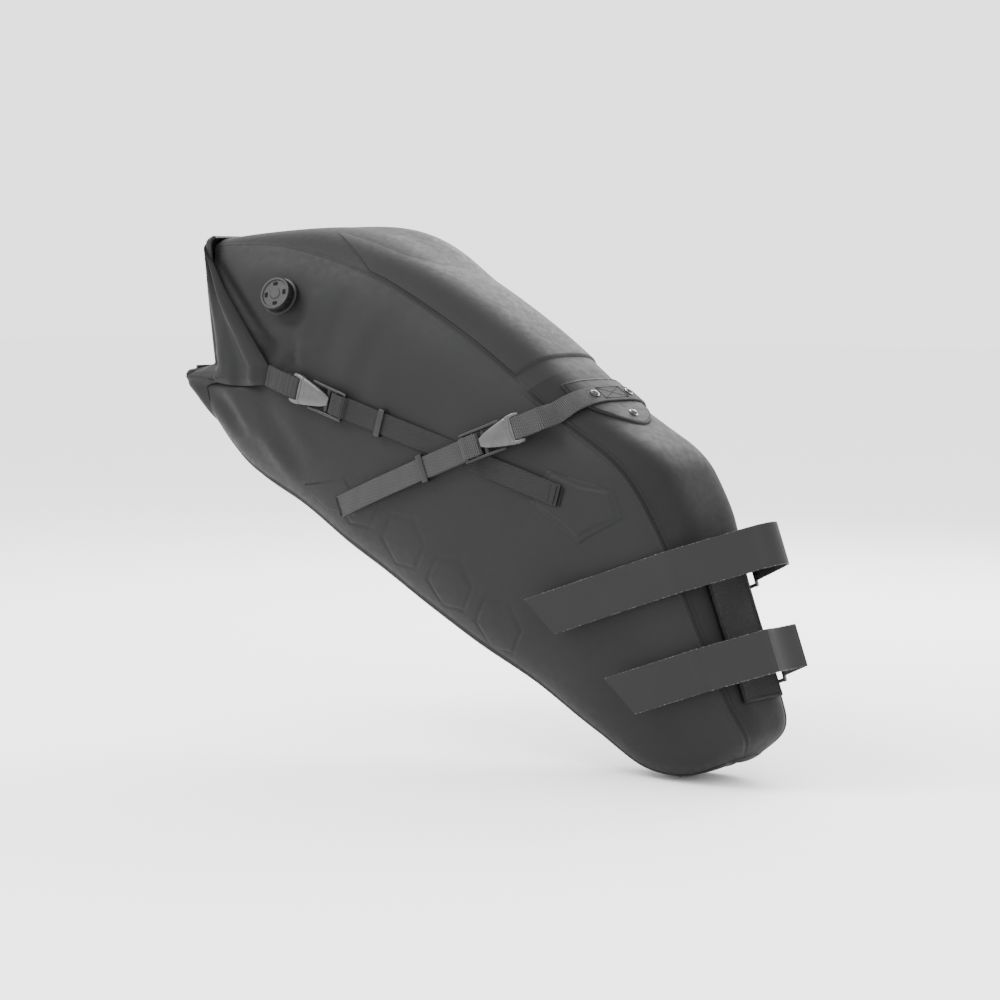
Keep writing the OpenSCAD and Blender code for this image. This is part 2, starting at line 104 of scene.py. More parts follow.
def placed(points):
    """Bag coordinates in mm as metres in the shared frame."""
    return (np.asarray(points, float) - AHEAD) * MM


def stations(s):
    """Catmull-Rom through the stations at the values in s."""
    s = np.clip(np.asarray(s, float), 0, LAST)
    i = np.minimum(np.floor(s).astype(int), LAST - 1)
    t = (s - i)[..., None]
    p0 = STATIONS[np.maximum(i - 1, 0)]
    p1 = STATIONS[i]
    p2 = STATIONS[i + 1]
    p3 = STATIONS[np.minimum(i + 2, LAST)]
    return 0.5 * (2 * p1 + (p2 - p0) * t + (2 * p0 - 5 * p1 + 4 * p2 - p3) * t**2
                  + (3 * p1 - 3 * p2 + p3 - p0) * t**3)


def section(q):
    """Middle (x, z), run from belly to top, and half height of the sections q."""
    run = q[..., 2:4] - q[..., 0:2]
    return (q[..., 2:4] + q[..., 0:2]) / 2, run, np.linalg.norm(run, axis=-1) / 2


def skin(s, a):
    """Points on the bag's surface at stations s and angles a from the top centre line, in mm."""
    s, a = np.broadcast_arrays(np.asarray(s, float), np.asarray(a, float))
    q = stations(s)
    mid, run, half = section(q)
    c = np.cos(np.radians(a))
    d = np.sin(np.radians(a))
    power = 2 / np.where(c > 0, q[..., 5], q[..., 6])
    v = half * np.sign(c) * np.abs(c)**power
    u = q[..., 4] * np.sign(d) * np.abs(d)**power
    rise = run / (2 * half[..., None])
    return np.stack([mid[..., 0] + rise[..., 0] * v, -u, mid[..., 1] + rise[..., 1] * v], -1)


def skin_normal(s, a):
    """Outward unit normals at stations s and angles a."""
    s, a = np.broadcast_arrays(np.asarray(s, float), np.asarray(a, float))
    n = np.cross(skin(np.minimum(s + 0.1, LAST), a) - skin(np.maximum(s - 0.1, 0), a),
                 skin(s, a + 3) - skin(s, a - 3))
    return n / np.linalg.norm(n, axis=-1, keepdims=True)


def half_width(x, z):
    """Half width of the bag where its side passes through (x, z), in mm."""
    x, z = np.broadcast_arrays(np.asarray(x, float), np.asarray(z, float))

    def ahead(s):
        q = stations(s)
        return (q[..., 2] - q[..., 0]) * (z - q[..., 1]) - (q[..., 3] - q[..., 1]) * (x - q[..., 0])

    low = np.zeros(x.shape)
    high = np.full(x.shape, float(LAST))
    first = ahead(low) < 0
    for _ in range(24):
        middle = (low + high) / 2
        same = (ahead(middle) < 0) == first
        low = np.where(same, middle, low)
        high = np.where(same, high, middle)
    q = stations(low)
    mid, run, half = section(q)
    v = ((x - mid[..., 0]) * run[..., 0] + (z - mid[..., 1]) * run[..., 1]) / (2 * half * half)
    power = np.where(v > 0, q[..., 5], q[..., 6])
    return q[..., 4] * np.maximum(0, 1 - np.minimum(1, np.abs(v))**power)**(1 / power)


# ---------------------------------------------------------------- mesh helpers
SHARP_ANGLE = math.radians(50)


def make(name, verts, faces, material, body, uv=None, replaces=()):
    """A mesh piece from points in mm, with a UV pair for each point. It stands for the CAD node of
    its own name, if there is one, and rides on the CAD body, unless that is None."""
    mesh = bpy.data.meshes.new(name)
    mesh.from_pydata([tuple(v) for v in placed(verts)], [], [tuple(f) for f in faces])
    if uv is not None:
        layer = mesh.uv_layers.new(name="UVMap")
        corner = np.array([loop.vertex_index for loop in mesh.loops])
        layer.data.foreach_set("uv", np.asarray(uv, float)[corner].ravel())
    bm = bmesh.new()
    bm.from_mesh(mesh)
    bmesh.ops.recalc_face_normals(bm, faces=bm.faces)
    bm.to_mesh(mesh)
    bm.free()
    mesh.materials.append(material)
    for p in mesh.polygons:
        p.use_smooth = True
    mesh.set_sharp_from_angle(angle=SHARP_ANGLE)
    obj = bpy.data.objects.new(name, mesh)
    bpy.context.scene.collection.objects.link(obj)
    if body:
        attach(obj, body)
    stands_for = replaces or [name] * (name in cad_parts)
    if stands_for:
        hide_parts(*stands_for)
    return obj


def tube_faces(rows, sides):
    """Faces of a closed tube whose points run ring by ring."""
    faces = []
    for i in range(rows - 1):
        for j in range(sides):
            k = (j + 1) % sides
            faces.append((i * sides + j, i * sides + k, (i + 1) * sides + k, (i + 1) * sides + j))
    faces.append(tuple(range(sides))[::-1])
    faces.append(tuple((rows - 1) * sides + j for j in range(sides)))
    return faces


def grid_faces(rows, cols, base=0, flip=False):
    """Faces of a grid of points, row by row."""
    i, j = np.meshgrid(np.arange(rows - 1), np.arange(cols - 1), indexing="ij")
    a = (base + i * cols + j).ravel()
    quads = np.stack([a, a + 1, a + cols + 1, a + cols], -1)
    return quads[:, ::-1] if flip else quads


def slab(outer, inner):
    """Vertices and faces of the closed slab between two grids of points."""
    rows, cols = outer.shape[:2]
    shift = rows * cols
    verts = np.concatenate([outer.reshape(-1, 3), inner.reshape(-1, 3)])
    index = np.arange(shift).reshape(rows, cols)
    rim = np.concatenate([index[0, :-1], index[:-1, -1], index[-1, :0:-1], index[:0:-1, 0]])
    nxt = np.roll(rim, -1)
    sides = np.stack([rim, nxt, nxt + shift, rim + shift], -1)
    faces = np.concatenate([grid_faces(rows, cols), grid_faces(rows, cols, shift, True), sides])
    return verts, faces


def smooth_step(x, low, high):
    t = np.clip((x - low) / (high - low), 0, 1)
    return t * t * (3 - 2 * t)


def bump(x, width):
    return np.exp(-(x / width)**2)


def smoothed(values, passes):
    """The values after some three-point averages, with both ends held."""
    for _ in range(passes):
        values[1:-1] = (values[:-2] + 2 * values[1:-1] + values[2:]) / 4
    return values


def superellipse(angles, power):
    """Cosines and sines of the angles, squared off by the power."""
    c, d = np.cos(angles), np.sin(angles)
    return np.sign(c) * np.abs(c)**(2 / power), np.sign(d) * np.abs(d)**(2 / power)


def as_drawn(points):
    return np.asarray(points, float)


def mirrored(points):
    return np.asarray(points, float) * [1, -1, 1]


SIDES = (("right", as_drawn), ("left", mirrored))


# ---------------------------------------------------------------- materials
class Nodes:
    """Short forms for building a material's node tree."""

    def __init__(self, name):
        self.material = bpy.data.materials.new(name)
        self.material.use_nodes = True
        self.tree = self.material.node_tree
        self.shader = self.tree.nodes["Principled BSDF"]

    def add(self, kind, **inputs):
        node = self.tree.nodes.new(kind)
        for key, value in inputs.items():
            self.put(node, key, value)
        return node

    def put(self, node, key, value):
        socket = node.inputs[int(key[1:])] if key[0] == "_" else node.inputs[key.replace("_", " ")]
        if isinstance(value, bpy.types.NodeSocket):
            self.tree.links.new(value, socket)
        else:
            socket.default_value = value

    def math(self, operation, a, b=0.0, c=0.0):
        node = self.add("ShaderNodeMath", _0=a, _1=b, _2=c)
        node.operation = operation
        return node.outputs[0]

    def total(self, *parts):
        """Sum of sockets, each given alone or with its weight."""
        terms = [self.math("MULTIPLY", *part) if isinstance(part, tuple) else part for part in parts]
        result = terms[0]
        for term in terms[1:]:
            result = self.math("ADD", result, term)
        return result

    def ridges(self, value):
        """Rounded ridges, one for each pi in value."""
        return self.math("ABSOLUTE", self.math("SINE", value))

    def coords(self, turn=(0, 0, 0), which="Object"):
        source = self.add("ShaderNodeTexCoord").outputs[which]
        return self.add("ShaderNodeMapping", Vector=source, Rotation=turn).outputs[0]

    def noise(self, scale, detail, rough):
        return self.add("ShaderNodeTexNoise", Vector=self.coords(), Scale=scale, Detail=detail,
                        Roughness=rough).outputs["Fac"]

    def mix(self, share, dark, light):
        """Colour between two, each given as a socket or as red, green, blue and alpha."""
        node = self.add("ShaderNodeMix")
        node.data_type = "RGBA"
        for key, value in (("_0", share), ("_6", dark), ("_7", light)):
            self.put(node, key, value)
        return node.outputs[2]

    def ramp(self, value, low, high, dark, light):
        return self.mix(self.range(value, low, high, 0.0, 1.0), dark, light)

    def range(self, value, low, high, to_low, to_high):
        return self.add("ShaderNodeMapRange", Value=value, From_Min=low, From_Max=high,
                        To_Min=to_low, To_Max=to_high).outputs[0]

    def bump(self, height, distance, strength=1.0):
        node = self.add("ShaderNodeBump", Height=height, Distance=distance, Strength=strength)
        self.tree.links.new(node.outputs[0], self.shader.inputs["Normal"])

    def finish(self, **sockets):
        for key, value in sockets.items():
            self.put(self.shader, key, value)
        return self.material


def grey(level, tint=0.0):
    return (level * (1 - tint), level, level * (1 + tint), 1)


RIPSTOP_PITCH = 0.0032
WARP_PITCH = 1.45
FRAYED = (0.2, 0.2, 0.19, 1)


def coated_fabric(name, level, ripstop=1.0, roughness=0.56):
    """Matte coated fabric: diagonal ripstop grid, fine grain, cloudy tone."""
    n = Nodes(name)
    threads = []
    for turn in (math.radians(45), math.radians(-45)):
        across = n.add("ShaderNodeSeparateXYZ", Vector=n.coords(turn=(0, turn, 0))).outputs[0]
        wave = n.ridges(n.math("MULTIPLY", across, math.pi / RIPSTOP_PITCH))
        threads.append(n.math("POWER", wave, 0.35))
    grid = n.math("MULTIPLY", threads[0], threads[1])
    grain = n.noise(1900, 2, 0.6)
    cloud = n.noise(16, 4, 0.55)
    patchy = n.noise(140, 3, 0.6)
    tone = n.total((cloud, 0.5), (patchy, 0.2), (grid, 0.14 * ripstop), (grain, 0.12))
    colour = n.ramp(tone, 0.25, 0.75, grey(level * 0.86, 0.01), grey(level * 1.12, 0.01))
    n.bump(n.total((grid, 0.5 * ripstop), (grain, 0.5)), 0.00012, 0.55)
    rough = n.range(patchy, 0.3, 0.7, roughness - 0.05, roughness + 0.06)
    return n.finish(Base_Color=colour, Roughness=rough, Specular_IOR_Level=0.11)


def webbing_material(name, light, dark, pitch=1.7):
    """Coarse woven strap: rows of alternating picks along u, warp cords across v (UV in mm)."""
    n = Nodes(name)
    uv = n.add("ShaderNodeSeparateXYZ", Vector=n.coords(which="UV"))
    row = n.math("DIVIDE", uv.outputs[0], pitch)
    odd = n.math("MULTIPLY", n.math("FLOOR", row), 0.5)
    col = n.math("ADD", n.math("DIVIDE", uv.outputs[1], WARP_PITCH), odd)
    ridge_u = n.ridges(n.math("MULTIPLY", row, math.pi))
    ridge_v = n.ridges(n.math("MULTIPLY", col, math.pi))
    weave = n.math("POWER", n.math("MULTIPLY", ridge_u, ridge_v), 0.6)
    fibre = n.noise(2600, 2, 0.7)
    worn = n.noise(90, 3, 0.6)
    tone = n.total((weave, 0.7), (fibre, 0.18), (worn, 0.16))
    colour = n.ramp(tone, 0.2, 0.92, grey(dark), grey(light))
    n.bump(n.total(weave, (fibre, 0.25)), 0.0005, 0.8)
    return n.finish(Base_Color=colour, Roughness=0.75, Specular_IOR_Level=0.12, Sheen_Weight=0.02,
                    Sheen_Roughness=0.5)


def strap_rubber(name, level):
    """Smooth matte rubber strap; its cut edges are a little frayed (v in UV runs to the edge)."""
    n = Nodes(name)
    uv = n.add("ShaderNodeSeparateXYZ", Vector=n.coords(which="UV"))
    edge = n.math("ABSOLUTE", uv.outputs[1])
    near = n.range(edge, STRAP_W / 2 - 0.8, STRAP_W / 2 - 0.1, 0.0, 1.0)
    speck = n.range(n.noise(900, 2, 0.7), 0.56, 0.66, 0.0, 1.0)
    fray = n.math("MULTIPLY", near, speck)
    cloud = n.noise(22, 4, 0.6)
    grain = n.noise(2200, 2, 0.6)
    tone = n.total((cloud, 0.6), (grain, 0.2))
    body = n.ramp(tone, 0.2, 0.65, grey(level * 0.9), grey(level * 1.12))
    colour = n.mix(fray, body, FRAYED)
    n.bump(n.total(grain, (fray, 1.5)), 0.00012, 0.5)
    rough = n.range(cloud, 0.3, 0.7, 0.5, 0.6)
    return n.finish(Base_Color=colour, Roughness=rough, Specular_IOR_Level=0.13)


def moulded_plastic(name, level, roughness, specular=0.3):
    """Moulded nylon: fine spark texture, slightly worn tone."""
    n = Nodes(name)
    grain = n.noise(1500, 3, 0.7)
    worn = n.noise(120, 4, 0.65)
    colour = n.ramp(worn, 0.3, 0.7, grey(level * 0.8), grey(level * 1.25))
    n.bump(grain, 0.0001, 0.6)
    rough = n.range(n.total(worn, (grain, 0.3)), 0.4, 0.9, roughness - 0.07, roughness + 0.09)
    return n.finish(Base_Color=colour, Roughness=rough, Specular_IOR_Level=specular)


def grip_rubber(name):
    """Dark grainy anti-slip pad."""
    n = Nodes(name)
    pebble = n.add("ShaderNodeTexVoronoi", Vector=n.coords(), Scale=900.0)
    height = n.total(pebble.outputs["Distance"], (n.noise(700, 3, 0.7), 0.8))
    colour = n.ramp(height, 0.3, 1.1, grey(0.004), grey(0.014))
    n.bump(height, 0.0006, 0.9)
    return n.finish(Base_Color=colour, Roughness=0.8, Specular_IOR_Level=0.12)


def coated_metal(name, level, roughness):
    """Black coated metal with a thin gloss coat."""
    n = Nodes(name)
    worn = n.noise(300, 4, 0.7)
    colour = n.ramp(worn, 0.35, 0.75, grey(level * 0.8), grey(level * 1.3))
    n.bump(n.noise(1200, 2, 0.6), 0.00004, 0.5)
    rough = n.range(worn, 0.3, 0.7, roughness - 0.05, roughness + 0.08)
    return n.finish(Base_Color=colour, Roughness=rough, Coat_Weight=0.15, Coat_Roughness=0.2)


FABRIC = coated_fabric("coated_ripstop", 0.0125)
GUSSET = coated_fabric("gusset_fabric", 0.009, ripstop=0.25, roughness=0.62)
TOP = coated_fabric("top_fabric", 0.0125, ripstop=0.3, roughness=0.6)
WEBBING = webbing_material("webbing_grey", 0.06, 0.004)
# Darker copy of the same webbing, for the roll strap and its frame loop: painted shade.
WEBBING_SHADED = webbing_material("webbing_shaded", 0.026, 0.002)
TAB = webbing_material("ribbed_tab", 0.021, 0.012, pitch=5.0)
RUBBER = strap_rubber("strap_rubber", 0.0135)
PLASTIC = moulded_plastic("buckle_nylon", 0.006, 0.38)
# The shield's base is lighter than the other buckle parts: painted highlight for the light it reflects.
SHIELD_PAINTED_HIGHLIGHT = moulded_plastic("shield_nylon_painted_highlight", 0.036, 0.31, specular=0.5)
VALVE = moulded_plastic("valve_nylon", 0.006, 0.4, specular=0.2)
GRIP = grip_rubber("grip_pad")
SEAL = moulded_plastic("seal_rubber", 0.02, 0.7)
BOARD = moulded_plastic("stiffener_board", 0.05, 0.6)
RING = coated_metal("ring_coating", 0.03, 0.25)
RIVET = coated_metal("rivet_black", 0.004, 0.2)
# Near-black: the real colour of the stitches' thread, and painted shade on the valve cap's slots.
THREAD_AND_SLOT_SHADE = moulded_plastic("thread_and_slot_shade", 0.003, 0.8, specular=0.1)

for node, material in {
    "nose_stiffener": BOARD, "roll_stiffener": BOARD, "valve_seal": SEAL, "valve_nut": VALVE,
}.items():
    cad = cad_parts[node]
    cad.data.materials.clear()
    cad.data.materials.append(material)


# ---------------------------------------------------------------- body shell
def segment_distance(x, z, start, end):
    """Distance from (x, z) to a segment, and how far along it the nearest point lies."""
    d = np.subtract(end, start)
    t = np.clip(((x - start[0]) * d[0] + (z - start[1]) * d[1]) / (d @ d), 0, 1)
    return np.hypot(x - start[0] - t * d[0], z - start[1] - t * d[1]), t


# Soft folds on each side: start (x, z), end (x, z), half width, depth
FOLDS = [
    ((-452, 196), (-436, 262), 9, 2.2), ((-424, 190), (-400, 262), 11, -2.0),
    ((-400, 180), (-372, 240), 12, 1.6), ((-500, 214), (-462, 232), 12, -2.6),
    ((-478, 208), (-438, 214), 9, 2.4), ((-566, 168), (-500, 128), 12, -2.8),
    ((-545, 150), (-470, 118), 13, 2.4), ((-560, 190), (-505, 160), 10, 2.0),
    ((-498, 160), (-462, 112), 10, -2.2), ((-470, 160), (-440, 120), 11, 1.8),
    ((-372, 150), (-352, 200), 14, 1.2), ((-330, 40), (-250, 0), 20, 0.9),
    ((-560, 300), (-470, 306), 14, -1.2), ((-520, 262), (-512, 300), 12, 1.2),
    ((-566, 303), (-480, 203), 8, -7.5), ((-470, 203), (-460, 208), 11, -8.0),
    ((-484, 228), (-450, 234), 7, 3.4), ((-602, 185), (-520, 185), 4.5, -7.0),
    ((-520, 185), (-496, 181), 4, -3.0), ((-541, 168), (-517, 138), 9, 2.6),
    ((-560, 172), (-532, 140), 10, -3.0), ((-505, 140), (-470, 98), 12, 2.6),
    ((-452, 226), (-446, 196), 8, 2.2),
]
HEXAGON_START = np.array([-386.0, 76.0])
HEXAGON_PITCH = 62
HEXAGON_REACH = 23
PINCH = 24
FRONT_CROWN = 9
FAR_HUMP = 13
WALL = 1.6
NOSE_DEPTH = 3.2
NOSE_WALL = 1.2


def fold_relief(x, z, left):
    """Soft folds of a side; those of the left side lie a little elsewhere."""
    total = np.zeros_like(x)
    for k, (start, end, width, depth) in enumerate(FOLDS):
        if left:
            shift = 7 * math.sin(3.1 * k)
            start = (start[0] + shift, start[1] - shift / 2)
            end = (end[0] - shift, end[1] + shift / 2)
        d, t = segment_distance(x, z, start, end)
        total += depth * bump(d, width) * (0.55 + 0.45 * np.sin(math.pi * t))
    return total


def hexagon_rows(x, z):
    """A neutral row of sunk hexagon outlines low on the side."""
    along = np.array([math.cos(math.radians(-35)), math.sin(math.radians(-35))])
    across = np.array([-along[1], along[0]])
    total = np.zeros_like(x)
    for k in range(4):
        centre = HEXAGON_START + along * HEXAGON_PITCH * k
        u = (x - centre[0]) * along[0] + (z - centre[1]) * along[1]
        v = (x - centre[0]) * across[0] + (z - centre[1]) * across[1]
        reach = np.maximum(np.abs(u), np.abs(u) / 2 + np.abs(v) * math.sqrt(3) / 2)
        total -= 0.8 * bump(reach - HEXAGON_REACH, 1.2)
    return total


def pinch(x, z):
    """How far the folded mouth pulls each side in at the rear, in mm."""
    height = np.interp(z, [184, 199, 225, 260, 300, 322], [0, 1, 0.85, 0.5, 0.12, 0])
    return PINCH * height * smooth_step(-x, 542, 580)


def relief(points, s, a):
    """Height in mm that the surface stands proud of the plain loft."""
    x, z = points[..., 0], points[..., 2]
    side = np.abs(a)
    side = np.where(side > 180, 360 - side, side)
    seam_top = np.linalg.norm(points - skin(s, np.sign(a) * SHOULDER), axis=-1)
    front = 1 - smooth_step(s, GUSSET_END - 0.1, GUSSET_END + 0.2)
    welt = 1.5 * bump(seam_top - 2.6, 1.5) - 0.2 * bump(seam_top, 0.7)
    thin = 0.7 * bump(seam_top, 1.1)
    height = (front * welt + (1 - front) * thin) * smooth_step(s, 0.2, 1.6)
    across = np.cos(math.pi / 2 * np.clip(a / SHOULDER, -1, 1))
    height += FRONT_CROWN * across * smooth_step(s, 3.9, 5.2) * (1 - smooth_step(s, 5.6, 6.5))
    height += FAR_HUMP * bump(s - 9.45, 0.62) * bump(a + 24, 26)
    seam_low = np.linalg.norm(points - skin(s, np.sign(a) * KEEL), axis=-1)
    height += 0.8 * bump(seam_low - 1.8, 1.2) - 0.7 * bump(seam_low, 0.8)
    flank = smooth_step(side, SHOULDER + 1, SHOULDER + 12) * (1 - smooth_step(side, KEEL - 20, KEEL - 2))
    height += flank * fold_relief(x, z, np.median(points[..., 1]) > 0)
    height += flank * hexagon_rows(x, z)
    wave = np.sin(x / 37 + z / 51) * np.sin(z / 43 - x / 71 + 1.3) + 0.6 * np.sin(x / 19 - z / 27)
    quiet = smooth_step(s, 0.8, 2.5) * (1 - smooth_step(s, LAST - 0.5, LAST))
    return height + 0.55 * wave * quiet


def seam_angles(a0, a1, count):
    """Angles that crowd together near both seams."""
    t = np.linspace(0, 1, count)
    eased = t - 0.12 * np.sin(2 * math.pi * t)
    return a0 + (a1 - a0) * np.clip(eased, 0, 1)


def shell_panel(name, s0, s1, a0, a1, rows, cols, material):
    """One panel of the bag, between two stations and two angles."""
    s, a = np.meshgrid(np.linspace(s0, s1, rows), seam_angles(a0, a1, cols), indexing="ij")
    base = skin(s, a)
    normal = skin_normal(s, a)
    outer = base + normal * relief(base, s, a)[..., None]
    inner = outer - WALL * normal
    for face in (outer, inner):
        face[..., 1] -= np.sign(face[..., 1]) * pinch(base[..., 0], base[..., 2])
    verts, faces = slab(outer, inner)
    make(name, verts, faces, material, "bag")


shell_panel("side_panel_right", 0, LAST, SHOULDER, KEEL, 420, 150, FABRIC)
shell_panel("side_panel_left", 0, LAST, -KEEL, -SHOULDER, 420, 150, FABRIC)
shell_panel("top_panel", GUSSET_END, LAST, -SHOULDER, SHOULDER, 150, 110, TOP)
shell_panel("front_panel", 0, GUSSET_END, -SHOULDER, SHOULDER, 260, 110, GUSSET)
shell_panel("belly_panel", 0, LAST, KEEL, 360 - KEEL, 240, 60, GUSSET)


def nose_cap():
    """Rounded end below the first station."""
    around = np.linspace(-180, 180, 97)
    ring = skin(0.0, around) + 0.2 * skin_normal(0.0, around)
    centre = ring[:-1].mean(axis=0)
    run = STATIONS[0, 2:4] - STATIONS[0, 0:2]
    down = np.array([run[1], 0, -run[0]]) / np.linalg.norm(run)
    share = np.linspace(0, 0.98, 16)[:, None, None]
    rows = centre + (ring - centre)[None] * (1 - share) + NOSE_DEPTH * down * (1 - (1 - share)**2)
    verts, faces = slab(rows, rows - NOSE_WALL * down)
    make("nose_cap", verts, faces, GUSSET, "bag")


nose_cap()


def rim_line(rim, cuts):
    """Points along a closed outline, with each of its sides cut evenly."""
    rim = np.asarray(rim, float)
    share = np.linspace(0, 1, cuts, endpoint=False)[:, None]
    return np.concatenate([a + (b - a) * share for a, b in zip(rim, np.roll(rim, -1, axis=0))])


def side_normal(x, z):
    """Outward normals of the right side at (x, z)."""
    step = 1.5
    dx = (half_width(x + step, z) - half_width(x - step, z)) / (2 * step)
    dz = (half_width(x, z + step) - half_width(x, z - step)) / (2 * step)
    n = np.stack([-dx, -np.ones_like(dx), -dz], -1)
    return n / np.linalg.norm(n, axis=-1, keepdims=True)


def side_point(x, z, off=0.0):
    """Points on the right side at (x, z), raised by off."""
    return np.stack([np.asarray(x, float), -(half_width(x, z) + off), np.asarray(z, float)], -1)


def raised_patch(name, line, centre, surface, heights, material, rings=24, inset=None, flip=as_drawn):
    """Closed patch between two heights over a surface, given as the functions of its points and
    normals. With an inset, a distance and a height, its middle is raised once more."""
    place, direction = surface
    low, high = heights
    centre = np.asarray(centre, float)
    shares = np.linspace(0, 1, rings)[1:]
    grid = centre + (line[None] - centre) * shares[:, None, None]
    points = place(grid)
    normals = direction(grid)
    gap = np.linalg.norm(points[-1] - points[:-1], axis=-1)
    gap = np.concatenate([gap, np.zeros((1, gap.shape[1]))])
    edge = low + (high - low) * np.sqrt(np.clip(gap / 1.2, 0, 1))
    if inset:
        edge = edge + inset[1] * smooth_step(gap, inset[0] - 0.8, inset[0] + 0.8)
    top = points + normals * edge[..., None]
    under = points + normals * low
    hub = place(centre[None])[0]
    hub_n = direction(centre[None])[0]
    peak = high + (inset[1] if inset else 0)
    n = line.shape[0]
    middle = [hub + hub_n * peak, hub + hub_n * low]
    verts = np.concatenate([top.reshape(-1, 3), under.reshape(-1, 3), middle])
    shift = top.shape[0] * n
    faces = []
    for r in range(top.shape[0] - 1):
        a, b = r * n, (r + 1) * n
        for k in range(n):
            m = (k + 1) % n
            faces.append((a + k, a + m, b + m, b + k))
            faces.append((shift + a + m, shift + a + k, shift + b + k, shift + b + m))
    last = (top.shape[0] - 1) * n
    for k in range(n):
        m = (k + 1) % n
        faces.append((last + k, last + m, shift + last + m, shift + last + k))
        faces.append((m, k, 2 * shift))
        faces.append((shift + k, shift + m, 2 * shift + 1))
    make(name, flip(verts), faces, material, "bag")


# Surfaces that a patch lies on: the top by (station, angle), the right side by (x, z)
ON_TOP = (lambda p: skin(p[..., 0], p[..., 1]), lambda p: skin_normal(p[..., 0], p[..., 1]))
ON_SIDE = (lambda p: side_point(p[..., 0], p[..., 1]), lambda p: side_normal(p[..., 0], p[..., 1]))
TOP_RIM = [[9.15, 40], [9.85, 13], [9.85, -13], [9.15, -40], [7.5, -40], [7.5, 40]]
RAIL_RIM = [[7.22, 22], [6.98, 24], [6.76, 16], [6.46, 0], [6.76, -16], [6.98, -24], [7.22, -22]]
RAIL_CENTRE = [6.9, 0]
ROLL_ANCHOR_RIM = [[-172, 114], [-104, 98], [-95, 74], [-141, 49], [-190, 84]]
RAIL_ANCHOR_RIM = [[-455, 88], [-400, 95], [-380, 72], [-390, 62], [-430, 66]]
raised_patch("top_reinforcement", rim_line(TOP_RIM, 26), [8.6, 0], ON_TOP, (-0.4, 1.9), TOP,
             rings=50)
raised_patch("rail_patch", rim_line(RAIL_RIM, 14), RAIL_CENTRE, ON_TOP, (0.2, 1.8), GUSSET)
for side, flip in SIDES:
    raised_patch("roll_anchor_patch_" + side, rim_line(ROLL_ANCHOR_RIM, 14), [-142, 82], ON_SIDE, (-0.3, 1.0),
                 FABRIC, inset=(7.0, 1.0), flip=flip)
    raised_patch("rail_anchor_patch_" + side, rim_line(RAIL_ANCHOR_RIM, 14), [-408, 78], ON_SIDE, (-0.3, 1.0),
                 FABRIC, flip=flip)


# ---------------------------------------------------------------- swept pieces
def rotation(axis, degrees):
    c, s = math.cos(math.radians(degrees)), math.sin(math.radians(degrees))
    return {
        "x": np.array([[1, 0, 0], [0, c, -s], [0, s, c]]),
        "y": np.array([[c, 0, s], [0, 1, 0], [-s, 0, c]]),
        "z": np.array([[c, -s, 0], [s, c, 0], [0, 0, 1]]),
    }[axis]


def on_right(origin, turn, tilt=0.0):
    """Buckle coordinates on the right side: x along the strap, y across it, z away from the bag."""
    matrix = rotation("x", 90) @ rotation("z", turn) @ rotation("y", -tilt)
    return lambda points: np.asarray(points, float) @ matrix.T + origin


AT_ROLL = on_right(ROLL_BAR, -ROLL_SLOPE)
AT_RAIL = on_right(RAIL_BAR, 180 + RAIL_SLOPE, RAIL_TILT)
POST = rotation("y", POST_ANGLE - 90)


def at_post(points):
    """Post coordinates, z up the seatpost, as bag coordinates."""
    return np.asarray(points, float) @ POST.T


def pointing(place, axis):
    """Which way an axis of some placed coordinates points on the bag."""
    return place([axis])[0] - place([[0, 0, 0]])[0]


Y_AXIS = (0, 1.0, 0)
Z_AXIS = (0, 0, 1.0)


def unit(v):
    return v / np.linalg.norm(v, axis=-1, keepdims=True)


def curve(points, count):
    """Catmull-Rom curve through the points, sampled evenly."""
    p = np.asarray(points, float)
    p = np.concatenate([[2 * p[0] - p[1]], p, [2 * p[-1] - p[-2]]])
    t = np.linspace(0, len(p) - 3, 40 * (len(p) - 3) + 1)
    i = np.minimum(t.astype(int), len(p) - 4)
    f = (t - i)[:, None]
    a, b, c, d = p[i], p[i + 1], p[i + 2], p[i + 3]
    fine = 0.5 * (2 * b + (c - a) * f + (2 * a - 5 * b + 4 * c - d) * f**2
                  + (3 * b - 3 * c + d - a) * f**3)
    gaps = np.concatenate([[0], np.cumsum(np.linalg.norm(np.diff(fine, axis=0), axis=1))])
    even = np.linspace(0, gaps[-1], count)
    return np.stack([np.interp(even, gaps, fine[:, k]) for k in range(p.shape[1])], -1)


def rounded_section(half_w, half_t, corner, cuts=5, flats=9):
    """Points (v, w) round a flat section with rounded corners."""
    out = []
    wide, tall = half_w - corner, half_t - corner
    for cx, cy, start in ((1, 1, 0), (-1, 1, 90), (-1, -1, 180), (1, -1, 270)):
        for k in range(cuts):
            a = math.radians(start + 90 * k / (cuts - 1))
            out.append((cx * wide + corner * math.cos(a), cy * tall + corner * math.sin(a)))
        if cx == cy:
            out += [(cx * wide * (1 - 2 * k / flats), cy * half_t) for k in range(1, flats)]
    return np.array(out)


def sweep(path, across, section, cup=None):
    """Closed solid of a section carried along a path; returns points, faces and UV in mm.
    The section's middle is raised by cup along the path."""
    path = np.asarray(path, float)
    tangent = unit(np.gradient(path, axis=0))
    side = np.broadcast_to(across, path.shape)
    side = unit(side - (side * tangent).sum(-1, keepdims=True) * tangent)
    up = np.cross(tangent, side)
    v = np.tile(section[:, 0], (len(path), 1))
    w = np.tile(section[:, 1], (len(path), 1))
    if cup is not None:
        w = w + np.asarray(cup, float)[:, None] * (1 - (v / section[:, 0].max())**2)
    points = path[:, None] + side[:, None] * v[..., None] + up[:, None] * w[..., None]
    length = np.concatenate([[0], np.cumsum(np.linalg.norm(np.diff(path, axis=0), axis=1))])
    uv = np.stack([np.broadcast_to(length[:, None], v.shape), v], -1).reshape(-1, 2)
    return points.reshape(-1, 3), tube_faces(len(path), len(section)), uv


